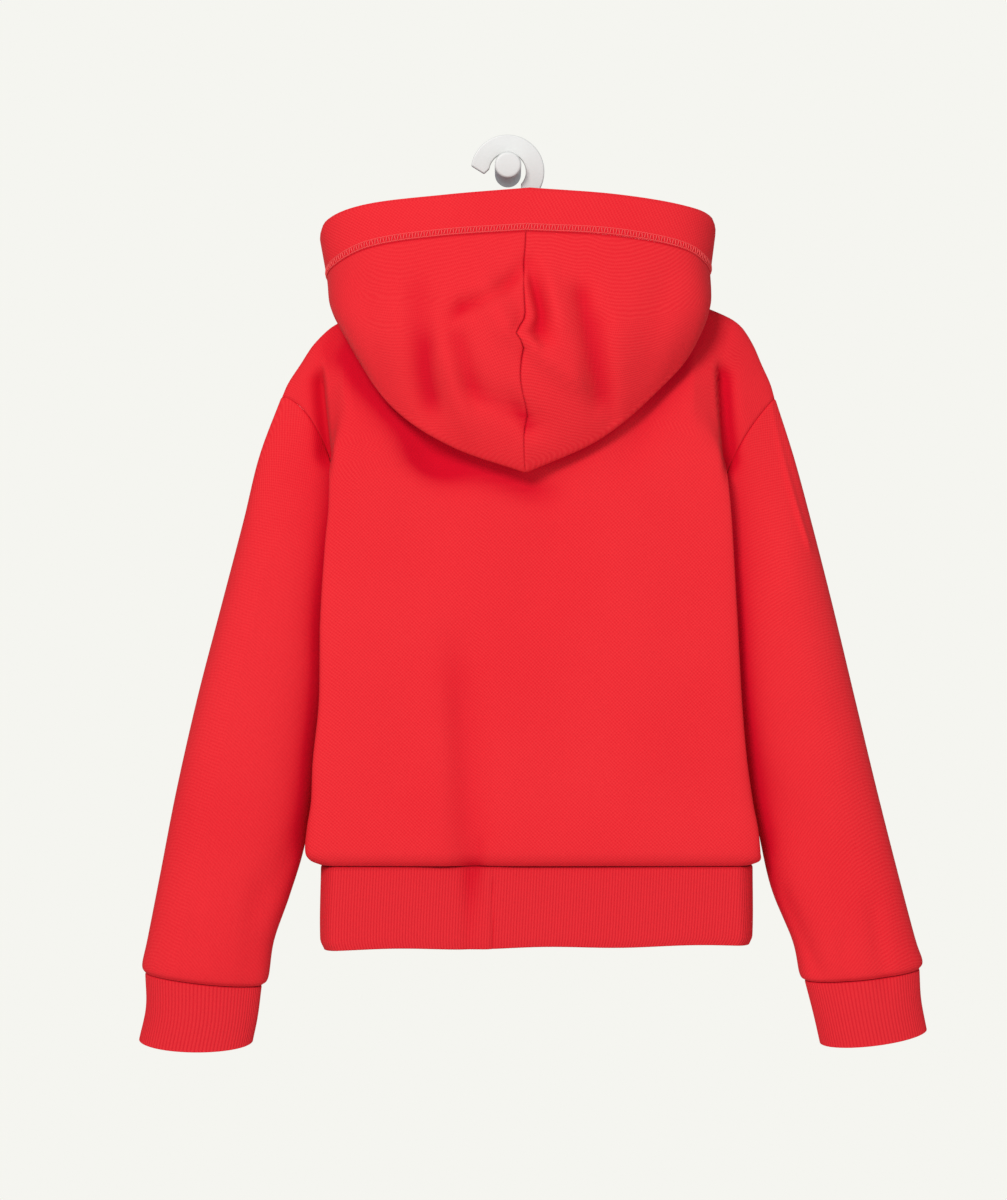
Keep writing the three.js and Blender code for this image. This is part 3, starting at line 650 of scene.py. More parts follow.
@dataclass(frozen=True)
class Trunk:
    """The garment's body: outline, depth and seams, with the folds that its back and front show."""

    middle_y: float = -52.0
    fall: float = 130.0
    crown: float = 3.0
    underarm_z: float = -372.0
    hem_z: float = -559.0
    side_round: float = 18.0
    puff_height: float = 12.0
    puff_depth: float = 2.2
    armhole_depth: float = 17.0
    neck_x: float = 18.0
    neck_half: float = 85.0
    back_drop: float = 14.0
    front_drop: float = 58.0
    cloth: float = 2.0
    outline: Table = Table(
        ("z", "left", "right", "half", "tuck"),
        (
            (-559, -156.5, 201, 28, 6),
            (-555, -162.5, 206, 31, 9),
            (-548, -164.7, 204.2, 33, 11),
            (-530, -162.5, 201.3, 34, 12),
            (-507, -159, 197, 34, 12),
            (-475, -155.8, 190.7, 34, 14),
            (-427, -150.4, 186, 34, 15),
            (-367, -149.4, 182.6, 34, 16),
            (-300, -143.6, 178.2, 34, 16),
            (-270, -138.8, 174.8, 34, 16),
            (-236, -137.4, 168.6, 34, 14),
            (-212, -141.6, 165.4, 34, 8),
            (-181, -148.6, 164.6, 34, 0),
        ),
    )
    ridge: Table = Table(
        ("x", "z"),
        (
            (-181.6, -184),
            (-177, -173.5),
            (-167, -158),
            (-156, -141.5),
            (-139, -126.5),
            (-105, -113),
            (-67, -100),
            (103, -94),
            (140, -106),
            (173, -118.5),
            (187, -127.5),
            (197, -142.5),
            (204, -158.5),
            (211, -174),
            (214.4, -185.6),
        ),
    )
    main_folds: tuple[Fold, ...] = (
        Fold(-152, -150, -139, -232, 8, 9),
        Fold(172, -140, 167, -232, 8, 8),
        Fold(-22, -559, -30, -440, 16, 2.5),
        Fold(-52, -559, -52, -430, 14, -1.5),
    )
    near_folds: tuple[Fold, ...] = (
        Fold(-148, -174, -142, -228, 5.5, 12, 0, -0.75),
        Fold(-131, -150, -66, -224, 17, 8, -3),
        Fold(-56, -236, 12, -256, 14, 6, -2),
        Fold(152, -140, 100, -222, 14, 3, 4),
        Fold(168, -172, 172, -234, 5.5, 12.5, 0, 0.75),
        Fold(-30, -566, -31, -640, 6, 2.2),
        Fold(-17, -572, -17, -640, 4, -1.4),
        Fold(-12, -572, -12, -640, 1.2, 0.8),
        Fold(-40, -400, -28, -566, 17, 4),
        Fold(-23, -540, -24, -562, 3, 1.0),
        Fold(-16, -544, -15, -562, 3, -1.0),
        Fold(-66, -300, -84, -480, 30, 1.8),
        Fold(92, -290, 108, -470, 32, -1.6),
        Fold(40, -250, 22, -330, 22, 1.4),
        Fold(211, -188, 240, -302, 2.2, -3.0, 2),
        Fold(-168, -540, -196, -586, 12, 1.5),
        Fold(-200, -584, -208, -650, 10, 1.2),
        Fold(-238, -640, -246, -600, 8, -1.4),
        Fold(-216, -330, -252, -480, 20, -1.8),
        Fold(222, -588, 246, -640, 7, 2.4),
        Fold(212, -500, 262, -560, 16, 1.8),
        Fold(222, -300, 262, -470, 20, -1.6),
        Fold(300, -648, 292, -600, 8, 1.8),
        Fold(270, -652, 268, -622, 6, 1.2),
    )
    far_folds: tuple[Fold, ...] = (
        Fold(-150, -160, -136, -250, 8, 8),
        Fold(172, -150, 168, -255, 8, 8),
        Fold(-110, -270, -60, -430, 22, 2.2),
        Fold(120, -260, 80, -420, 20, 2.4),
        Fold(28, -430, 34, -566, 12, 2.2),
        Fold(30, -566, 30, -640, 5, 2.4),
        Fold(-80, -480, -92, -566, 10, 1.6),
        Fold(-206, -560, -170, -540, 11, 3.0),
        Fold(-220, -600, -214, -650, 8, 2.0),
        Fold(236, -560, 206, -540, 10, 2.8),
        Fold(262, -590, 268, -645, 8, 2.0),
        Fold(-226, -360, -256, -500, 18, -1.6),
        Fold(236, -340, 266, -480, 18, -1.6),
    )

    def across(self, x: Number) -> Number:
        """Share of the way from the left shoulder point to the right one."""
        return (x - LEFT.shoulder_x) / (RIGHT.shoulder_x - LEFT.shoulder_x)

    def depth(self, face: Face, x: Number, z: Number) -> Array:
        """Half depth of the body.

        It is the table's half depth with a crown of one sine arch across, less the main folds on the
        back. It rounds off as a quarter of a round below the shoulder line, and is drawn in at the hem by
        the square of the distance still to go.
        """
        fall = quarter((self.ridge.at("z", x) - z) / self.fall)
        crown = self.crown * np.sin(np.pi * np.clip(self.across(x), 0.0, 1.0))
        puff = self.puff_depth * (1 - np.clip((z - self.hem_z) / self.puff_height, 0.0, 1.0)) ** 2
        folds = pressed(self.main_folds, x, z) if face is Face.BACK else 0.0
        return (self.outline.at("half", z) + crown - folds) * fall - puff

    def press(self, points: Array) -> None:
        """Presses the garment's folds into the outer points of one of its pieces, in place."""
        way = np.where(points[..., 1] < self.middle_y, 1.0, -1.0)
        points[..., 1] += way * hollows(points, self.middle_y, self.near_folds, self.far_folds)

    def marks(self, points: Array) -> dict[str, Array]:
        """How far the garment's folds press in, which the finish paints as shade."""
        return {"hollow": HOLLOW_SCALE * hollows(points, self.middle_y, self.near_folds, self.far_folds)}

    def armhole(self, half: Half, t: Array) -> tuple[Array, Array, Array]:
        """Armhole seam.

        Args:
            half: the side.
            t: from the shoulder point at 0 to the underarm at 1.

        Returns:
            x, z and half depth. The seam is a chord with a sine bow set across it, and its depth is the
            sine of half a turn to a power that grows from 0.5 to 1.
        """
        chord_x, chord_z = half.under_x - half.shoulder_x, self.underarm_z - half.shoulder_z
        length = math.hypot(chord_x, chord_z)
        bow = half.bow * np.sin(np.pi * t**half.skew)
        x = mix(half.shoulder_x, half.under_x, t) + half.side * chord_z / length * bow
        z = mix(half.shoulder_z, self.underarm_z, t) - half.side * chord_x / length * bow
        arch = np.maximum(0.0, np.sin(np.pi * t))
        return x, z, self.armhole_depth * arch ** mix(0.5, 1.0, t)

    def neckline(self, face: Face, angle: Array) -> Array:
        """Neck seam, from the left side of the neck at 0 to the right side at half a turn."""
        drop = self.back_drop if face is Face.BACK else self.front_drop
        x = self.neck_x - self.neck_half * np.cos(angle)
        z = self.ridge.at("z", x) - drop * np.maximum(0.0, np.sin(angle))
        return place(x, self.middle_y + face.value * self.depth(face, x, z), z)


@dataclass
class Panels:
    """Back and front of the body, each cut in one piece from hem to shoulders."""

    trunk: Trunk
    finishes: Finishes
    side_steps: int = 30
    shoulder_steps: int = 8
    neck_steps: int = 70
    seam_rows: int = 14
    level_rows: int = 40
    armhole_rows: int = 60

    def bend_x(self, half: Half) -> float:
        """Where a panel starts to fold over towards the side, on the shoulder line."""
        return float(self.trunk.outline.at(half.name, -120.0)) - half.side * self.trunk.side_round

    def rows(self) -> dict[str, Array]:
        """Rows from the hem to the underarm and on along the armhole to the shoulder.

        Returns:
            For each side the end of every row (x, z and half depth), and how far the row lifts to the
            shoulder line between them.
        """
        trunk = self.trunk
        levels = np.concatenate([
            eased_start(self.seam_rows) * 12,
            np.linspace(12, 150, self.level_rows + 1)[1:],
        ])
        t = (1 + np.cos(np.pi * np.linspace(0.0, 1.0, self.armhole_rows + 1))) / 2
        rows = {"lift": np.concatenate([np.zeros(len(levels)), (1 - t) ** 1.5])}
        for half in (LEFT, RIGHT):
            z = trunk.hem_z + levels
            x = trunk.outline.at(half.name, z) - half.side * trunk.outline.at("tuck", z)
            hole_x, hole_z, hole_depth = trunk.armhole(half, t)
            rows[half.name] = np.stack([
                np.concatenate([x, hole_x]),
                np.concatenate([z, hole_z]),
                np.concatenate([np.zeros(len(levels)), hole_depth]),
            ])
        return rows

    def grid(self, face: Face) -> Array:
        """Outer points of a panel.

        The middle runs straight across between two joints near the folded edges. Its columns are even at
        the hem and gather towards the neck seam, by a power of the row's lift. Beyond them x and depth
        are cubics from the joint to the row's end: where the side is tucked in, the cubic swings out past
        the end, so that the cloth folds round the edge and comes back to the seam.
        """
        trunk = self.trunk
        rows = self.rows()
        ends = {half.name: rows[half.name][:, :, None] for half in (LEFT, RIGHT)}
        lift = rows["lift"][:, None]
        shoulders = (LEFT.shoulder_z, RIGHT.shoulder_z)

        def height(f: Array, top: Array) -> Array:
            """Height of a row at a share of the way across, under a given point of the top edge."""
            return mix(ends["left"][1], ends["right"][1], f) + lift * (top - mix(*shoulders, f))

        joints = {}
        for half in (LEFT, RIGHT):
            f = trunk.across(self.bend_x(half))
            z = height(f, trunk.ridge.at("z", self.bend_x(half)))
            x = trunk.outline.at(half.name, z) - half.side * trunk.side_round
            joints[half.name] = (x, z, trunk.depth(face, x, z))

        def side(half: Half) -> Array:
            """Columns from the end of the row to the joint."""
            q = eased_start(self.side_steps)[None, :]
            top_x = mix(half.shoulder_x, self.bend_x(half), q)
            z = height(trunk.across(top_x), trunk.ridge.at("z", top_x))
            end_x, _, end_depth = ends[half.name]
            joint_x, joint_z, joint_depth = joints[half.name]
            tuck = trunk.outline.at("tuck", joint_z)
            roll = smooth(tuck / 16)
            swing = (0.26 * tuck + 0.74 * trunk.side_round) / 0.148
            straight = (1 - roll) * (joint_x - end_x)
            x = hermite(end_x, straight, joint_x, straight - half.side * roll * swing, q)
            step = joint_depth - end_depth
            depth = hermite(end_depth, (1 + 0.8 * roll) * step, joint_depth, (1 - roll) * step, q)
            return place(x, trunk.middle_y + face.value * depth, z)

        neck = trunk.neckline(face, np.pi * np.linspace(0.0, 1.0, self.neck_steps + 1))
        shoulder = np.linspace(0.0, 1.0, self.shoulder_steps + 1)[1:-1]
        left_x = mix(self.bend_x(LEFT), neck[0, 0], shoulder)
        right_x = mix(neck[-1, 0], self.bend_x(RIGHT), shoulder)
        top_x = np.concatenate([left_x, neck[:, 0], right_x])[None, :]
        top_z = np.concatenate([trunk.ridge.at("z", left_x), neck[:, 2], trunk.ridge.at("z", right_x)])
        bends = (trunk.across(self.bend_x(LEFT)), trunk.across(self.bend_x(RIGHT)))
        even = np.linspace(*bends, len(top_z) + 2)[None, 1:-1]
        f = mix(even, trunk.across(top_x), lift**0.7)
        z = height(f, top_z[None, :])
        x = mix(joints["left"][0], joints["right"][0], (f - bends[0]) / (bends[1] - bends[0]))
        middle = place(x, trunk.middle_y + face.value * trunk.depth(face, x, z), z)
        return np.concatenate([side(LEFT), middle, side(RIGHT)[:, ::-1]], axis=1)

    def build(self) -> None:
        """Makes both panels."""
        for face, name in ((Face.BACK, "back_panel"), (Face.FRONT, "front_panel")):
            cloth = Cloth(self.grid(face), closed=False, flip=face is Face.FRONT)
            cloth.turn_in(first=OVER_RIB, last=SEAM, left=SEAM, right=SEAM)
            self.trunk.press(cloth.points)
            piece = sew(name + "_cloth", cloth, self.trunk.cloth, self.finishes.sweatshirt,
                        name, self.trunk.marks(cloth.points))


@dataclass(frozen=True)
class Tube:
    """Sections of a sleeve or cuff: the outer and inner points of each ring, its half depth and dip."""

    table: Table
    middle_y: float

    def ring(self, along: Array, angle: Array) -> Array:
        """Points of the rings: an ellipse, from the outer side at 0 over the viewer's side at a quarter."""
        at = {column: self.table.at(column, along) for column in self.table.columns[1:]}
        t = (1 - np.cos(angle)) / 2
        x = mix(at["out_x"], at["in_x"], t)
        z = mix(at["out_z"], at["in_z"], t) - at["dip"] * np.sin(angle)
        return place(x, self.middle_y - at["half"] * np.sin(angle), z)


RINGS = ("place", "out_x", "out_z", "in_x", "in_z", "half", "dip")


@dataclass
class Sleeve:
    """Drop-shoulder sleeve, sewn into the armhole and gathered a little into its cuff."""

    half: Half
    table: Table
    trunk: Trunk
    finishes: Finishes
    cap: float = 2.2
    rings: int = 130
    sides: int = 144

    def grid(self) -> Array:
        """Outer points: the first ring is the armhole seam, which fades into plain rings by a soft step."""
        tube = Tube(self.table, self.trunk.middle_y)
        last = len(self.table.rows) - 1
        along = (last * eased(self.rings, 0.8))[:, None]
        angle = (2 * np.pi * np.arange(self.sides) / self.sides)[None, :]
        points = tube.ring(along, angle)
        t = (1 - np.cos(angle)) / 2
        seam_x, seam_z, seam_depth = self.trunk.armhole(self.half, t)
        cap = 1 - smooth(along / self.cap)
        chord_x = mix(self.table.cut("out_x", 0), self.table.cut("in_x", 0), t)
        chord_z = mix(self.table.cut("out_z", 0), self.table.cut("in_z", 0), t)
        way = np.where(angle <= np.pi, -1.0, 1.0)
        depth = mix(np.abs(points[..., 1] - self.trunk.middle_y), seam_depth, cap)
        points[..., 0] += cap * (seam_x - chord_x)
        points[..., 1] = self.trunk.middle_y + way * depth
        points[..., 2] += cap * (seam_z - chord_z)
        return points

    def build(self) -> None:
        """Makes the sleeve."""
        cloth = Cloth(self.grid(), closed=True, flip=self.half is LEFT, grain=(-self.half.side, -1))
        cloth.turn_in(first=SEAM, last=OVER_RIB)
        cloth.add_allowance(last=True, pointed=True)
        self.trunk.press(cloth.points)
        name = f"sleeve_{self.half.name}"
        piece = sew(name + "_cloth", cloth, self.trunk.cloth, self.finishes.sweatshirt,
                    name, self.trunk.marks(cloth.points))


@dataclass(frozen=True)
class Ribs:
    """Fine rib knit: rounded ribs with narrow grooves between them."""

    rise: float = 0.42
    samples: int = 5
    thick: float = 2.2

    def raise_on(self, cloth: Cloth, count: int) -> Array:
        """Tucks the first row under the cloth above, then raises ribs on the plain piece, in place.

        The height over the groove is the root of half a sine wave over each rib. It starts from nothing at
        the sewn edge.

        Args:
            cloth: the plain piece.
            count: ribs in a round.

        Returns:
            The share of its full height that each point has.
        """
        cloth.turn_in(first=UNDER_CLOTH)
        rows = len(cloth.points)
        cloth.add_allowance()
        added = len(cloth.points) - rows
        wave = np.sqrt(np.abs(np.sin(np.pi * np.arange(count * self.samples) / self.samples)))
        grown = np.concatenate([np.zeros(added), smooth(np.arange(rows) / 3 + 0.2)])
        share = grown[:, None] * wave[None, :]
        cloth.points = cloth.points + cloth.normals() * (self.rise * share)[..., None]
        return share


@dataclass
class Cuff:
    """Rib cuff."""

    half: Half
    table: Table
    trunk: Trunk
    ribs: Ribs
    finishes: Finishes
    count: int = 92
    rings: int = 40

    def build(self) -> None:
        """Makes the cuff: ribs run down its elliptical rings."""
        last = len(self.table.rows) - 1
        along = (last * eased(self.rings, 0.7))[:, None]
        steps = np.arange(self.count * self.ribs.samples)
        angle = (-2 * np.pi * steps / len(steps))[None, :]
        rings = Tube(self.table, self.trunk.middle_y).ring(along, angle)
        cloth = Cloth(rings, closed=True, flip=self.half is RIGHT)
        rise = self.ribs.raise_on(cloth, self.count)
        self.trunk.press(cloth.points)
        marks = {"rise": rise, **self.trunk.marks(cloth.points)}
        name = f"cuff_{self.half.name}"
        piece = sew(name + "_rib", cloth, self.ribs.thick, self.finishes.rib, name, marks)


@dataclass
class HemRib:
    """Rib band round the hem."""

    trunk: Trunk
    ribs: Ribs
    finishes: Finishes
    table: Table = Table(
        ("q", "left", "left_z", "right", "right_z", "half", "end"),
        (
            (0, -149.6, -559.4, 195.8, -559.4, 27.2, 15),
            (0.9, -150.2, -618.4, 195.6, -615.4, 25.6, 13),
            (1, -147, -626, 193, -622, 24.6, 12),
        ),
    )
    count: int = 330
    rings: int = 24
    corner_steps: int = 60
    sway: float = 0.7

    def ring(self, q: float, places: Array) -> Array:
        """One ring: straight front and back with elliptical ends, at even distances round its plan.

        Its free edge waves a little, as a sine along the band.
        """
        at = {column: float(self.table.at(column, q)) for column in self.table.columns[1:]}
        turn = np.linspace(-np.pi / 2, np.pi / 2, self.corner_steps)
        right_x = at["right"] - at["end"] + at["end"] * np.cos(turn)
        left_x = at["left"] + at["end"] - at["end"] * np.cos(turn)
        plan_x = np.concatenate([[at["left"] + at["end"]], right_x, left_x])
        plan_y = np.concatenate([[-at["half"]], at["half"] * np.sin(turn), at["half"] * np.sin(-turn)])
        length = np.concatenate([[0], np.cumsum(np.hypot(np.diff(plan_x), np.diff(plan_y)))])
        x = np.interp(places * length[-1], length, plan_x)
        y = self.trunk.middle_y + np.interp(places * length[-1], length, plan_y)
        z = mix(at["left_z"], at["right_z"], (x - at["left"]) / (at["right"] - at["left"]))
        return place(x, y, z + q * self.sway * np.sin(x / 19))

    def build(self) -> None:
        """Makes the band: ribs run down its rings."""
        steps = np.arange(self.count * self.ribs.samples)
        levels = eased(self.rings, 0.7)
        points = np.stack([self.ring(float(q), steps / len(steps)) for q in levels])
        cloth = Cloth(points, closed=True, flip=True)
        rise = self.ribs.raise_on(cloth, self.count)
        self.trunk.press(cloth.points)
        marks = {"rise": rise, **self.trunk.marks(cloth.points)}
        piece = sew("hem_rib_band", cloth, self.ribs.thick, self.finishes.rib, "hem_rib", marks)


HOOD = ("t", "fold_x", "fold_y", "fold_z", "seam_x", "seam_y", "seam_z", "rim_x", "rim_y", "rim_z",
        "roll", "swell", "open")
CENTRE_BACK = (0, 14, -98, -247, 14, -116, -57, 17, -112, -22.5, 16, 22, 0)
CENTRE_FRONT = (1, 18, -18, -150, 18, -15, -128, 18, -11, -98, 6, 0, 1)
HOOD_LEFT = Table(HOOD, (
    CENTRE_BACK,
    (0.15, -45, -97.5, -226, -54, -114, -61.5, -50, -111, -28, 16, 22, 0),
    (0.3, -91, -94.5, -195, -110, -105, -69.5, -114, -102, -35, 16, 17, 0),
    (0.42, -121, -85, -151, -140, -85, -84, -146, -83, -46.5, 15, 9, 0),
    (0.5, -133, -56, -120, -143, -58, -94, -149, -60, -62, 14, 2, 0),
    (0.62, -112, -24, -126, -118, -26, -103, -123, -23, -72, 12, 1, 0.2),
    (0.8, -62, -15, -142, -66, -15, -120, -69, -11, -90, 9, 0, 0.6),
    CENTRE_FRONT,
))
HOOD_RIGHT = Table(HOOD, (
    CENTRE_BACK,
    (0.15, 73, -97.5, -220, 82, -114, -60.5, 84, -111, -27.5, 16, 22, 0),
    (0.3, 119, -93.5, -181, 137, -104, -70, 138, -102, -35.3, 16, 17, 0),
    (0.42, 146, -85, -147, 158, -85, -82, 163, -83, -43.5, 15, 9, 0),
    (0.5, 152, -56, -107, 160, -58, -90, 164, -60, -57, 14, 2, 0),
    (0.62, 131, -24, -119, 136, -26, -98, 141, -23, -67, 12, 1, 0.2),
    (0.8, 86, -15, -139, 88, -15, -117, 91, -11, -87, 9, 0, 0.6),
    CENTRE_FRONT,
))


def rounded_curve(knots: Array, places: Array) -> Array:
    """Smooth curve through knots, as many side by side as there are columns.

    Between two knots it is a cubic. Its slopes are those of the centripetal Catmull-Rom curve: each knot
    is reached after a time that is the root of the distance from the one before.

    Args:
        knots: points, knot by column.
        places: knot numbers to read, with parts between them.

    Returns:
        Points, place by column.
    """
    first, last = 2 * knots[:1] - knots[1:2], 2 * knots[-1:] - knots[-2:-1]
    held = np.concatenate([first, knots, last])
    times = np.maximum(np.sqrt(np.linalg.norm(np.diff(held, axis=0), axis=-1)), 1e-3)[..., None]
    i = np.clip(np.floor(places).astype(int), 0, len(knots) - 2)
    q = (places - i)[:, None, None]
    p0, p1, p2, p3 = (held[i + k] for k in range(4))
    d0, d1, d2 = (times[i + k] for k in range(3))
    leave = ((p1 - p0) / d0 - (p2 - p0) / (d0 + d1) + (p2 - p1) / d1) * d1
    arrive = ((p2 - p1) / d1 - (p3 - p1) / (d1 + d2) + (p3 - p2) / d2) * d1
    return hermite(p1, leave, p2, arrive, q)


@dataclass
class Hood:
    """Two-piece hood that hangs down the back, with a folded band round its opening."""

    trunk: Trunk
    finishes: Finishes
    columns: int = 110
    level_rows: int = 110
    clearance: float = 4.0
    fold_reach: float = 7.0
    fold_rise: float = 9.0
    band_cloth: float = 3.2
    main_folds: tuple[Fold, ...] = (
        Fold(-34, -118, 13, -84, 6.5, 6.5, 6, 0.3),
        Fold(-14, -108, -8, -122, 13, -7),
        Fold(-38, -146, -31, -172, 9, 5.5),
        Fold(-70, -96, -62, -186, 15, 5, 3),
        Fold(-63, -150, -59, -186, 8, 3, 2, -0.3),
        Fold(-46, -168, -34, -206, 8, -3),
        Fold(-16, -188, 17, -207, 9, 4.5),
        Fold(19, -90, 26, -136, 6, 6.5, 0, 0.3),
        Fold(14, -144, 50, -172, 8, -6),
        Fold(32, -92, 40, -128, 8, -3),
        Fold(58, -110, 70, -184, 8, 6.5),
        Fold(72, -132, 82, -203, 7, 3.5),
        Fold(-112, -100, -98, -170, 15, 2.5),
        Fold(124, -95, 108, -165, 15, 2.5),
    )
    fine_folds: tuple[Fold, ...] = (
        Fold(9, -132, 12, -150, 5, 2.5),
        Fold(6, -196, 13, -210, 5, 3.0),
    )
    seam_path: Table = Table(("z", "x"), (
        (-247, 0), (-231, 0), (-214, 1), (-203, 3.5), (-185, 0), (-173, -1.5), (-159, -0.5), (-147.5, 1),
        (-139, -5), (-126, 1.5), (-112, 1), (-92, -0.5), (-60, 0),
    ))
    seam_sway: float = 16.0

    def grid(self, half: Half, table: Table) -> tuple[Array, Array]:
        """Outer points of one half, and how far its folds press them in, in centimetres, for painted shade.

        Rows run from the neck seam to the seam with the band.

        Each column is a curve from the neck up over the roll, down behind the pouch, round its lowest
        fold and up its outer wall to the seam. Towards the front it opens into a straight line. Folds and
        the sway of the centre seam move the outer wall only.
        """
        t = eased(self.columns, 0.7)
        at = {column: table.at(column, t) for column in HOOD[1:]}
        turn = np.abs(1 - 2 * t) * (np.pi / 2)
        angle = turn if half is LEFT else np.pi - turn
        on_back = self.trunk.neckline(Face.BACK, angle)
        on_front = self.trunk.neckline(Face.FRONT, angle)
        neck = np.where((t <= 0.5)[:, None], on_back, on_front)
        fold = place(at["fold_x"], at["fold_y"], at["fold_z"])
        seam = place(at["seam_x"], at["seam_y"], at["seam_z"])
        out = unit(place(fold[:, 0] - neck[:, 0], fold[:, 1] - neck[:, 1], 0.0))
        up = np.array([0.0, 0.0, 1.0])

        def move(point: Array, reach: Number, rise: float) -> Array:
            """A point moved outwards and up."""
            return point + out * np.reshape(reach, (-1, 1)) + up * rise

        roll = at["roll"]
        behind = mix(move(neck, roll, 8), move(fold, -self.fold_reach, self.fold_rise), 0.5)
        hug = self.trunk.middle_y - self.trunk.depth(Face.BACK, behind[:, 0], behind[:, 2]) - self.clearance
        share = 1 - smooth((t - 0.44) / 0.06)
        behind[:, 1] = mix(behind[:, 1], np.minimum(behind[:, 1], hug), share)
        knots = np.stack([
            neck,
            move(neck, 0.1 * roll, 8),
            move(neck, 0.5 * roll, 13),
            move(neck, roll, 8),
            behind,
            move(fold, -self.fold_reach, self.fold_rise),
            fold,
            move(fold, self.fold_reach, self.fold_rise),
            move(mix(fold, seam, 0.5), at["swell"], 0),
            seam,
        ])
        way = (np.arange(10) / 9)[:, None, None]
        knots = mix(knots, mix(neck, seam, way), at["open"][None, :, None])
        levels = 9 * eased(self.level_rows, 0.6)
        points = rounded_curve(knots, levels)
        levels = levels[:, None]
        wall = smooth(levels - 6.5) * (1 - smooth((levels - 8.4) / 0.6))
        fine = smooth((levels - 6.2) / 0.8) * (1 - smooth((levels - 8.7) / 0.3))
        x, z = points[..., 0], points[..., 2]
        shift = wall * pressed(self.main_folds, x, z) + fine * pressed(self.fine_folds, x, z)
        points[..., 1] += shift
        near = np.exp(-(((x - table.cut("seam_x", 0)) / self.seam_sway) ** 2))
        points[..., 0] += fine * near * self.seam_path.at("x", z)
        return points, HOLLOW_SCALE * shift

    def rim(self, table: Table) -> Array:
        """Rim of the opening, column by column."""
        t = eased(self.columns, 0.7)
        return place(table.at("rim_x", t), table.at("rim_y", t), table.at("rim_z", t))

    def build(self) -> None:
        """Makes the two halves and the band."""
        grids = {}
        for half, table in ((LEFT, HOOD_LEFT), (RIGHT, HOOD_RIGHT)):
            grids[half.name], hollow = self.grid(half, table)
            cloth = Cloth(grids[half.name].copy(), closed=False, flip=half is LEFT, grain=(half.side, 1))
            cloth.turn_in(first=SEAM, last=BAND_SEAM, left=SEAM, right=SEAM)
            name = f"hood_{half.name}"
            piece = sew(name + "_cloth", cloth, self.trunk.cloth, self.finishes.sweatshirt,
                        name, {"hollow": hollow})
        self.band(grids)

    def band(self, grids: dict[str, Array]) -> None:
        """Makes the band: straight lines from the hood's seam to the rim, all the way round."""
        start = np.concatenate([grids["left"][-1, :-1], grids["right"][-1, :0:-1]])
        rim = np.concatenate([self.rim(HOOD_LEFT)[:-1], self.rim(HOOD_RIGHT)[:0:-1]])
        q = eased(24, 0.8)[:, None, None]
        cloth = Cloth(mix(start[None], rim[None], q), closed=True, flip=True, grain=(-1, 1))
        cloth.turn_in(first=BAND_SEAM, last=FOLDED_EDGE)
        cloth.add_allowance()
        piece = sew("hood_band_cloth", cloth, self.band_cloth, self.finishes.sweatshirt,
                    "hood_band")
        CoverStitch(self.finishes).build(start, rim)


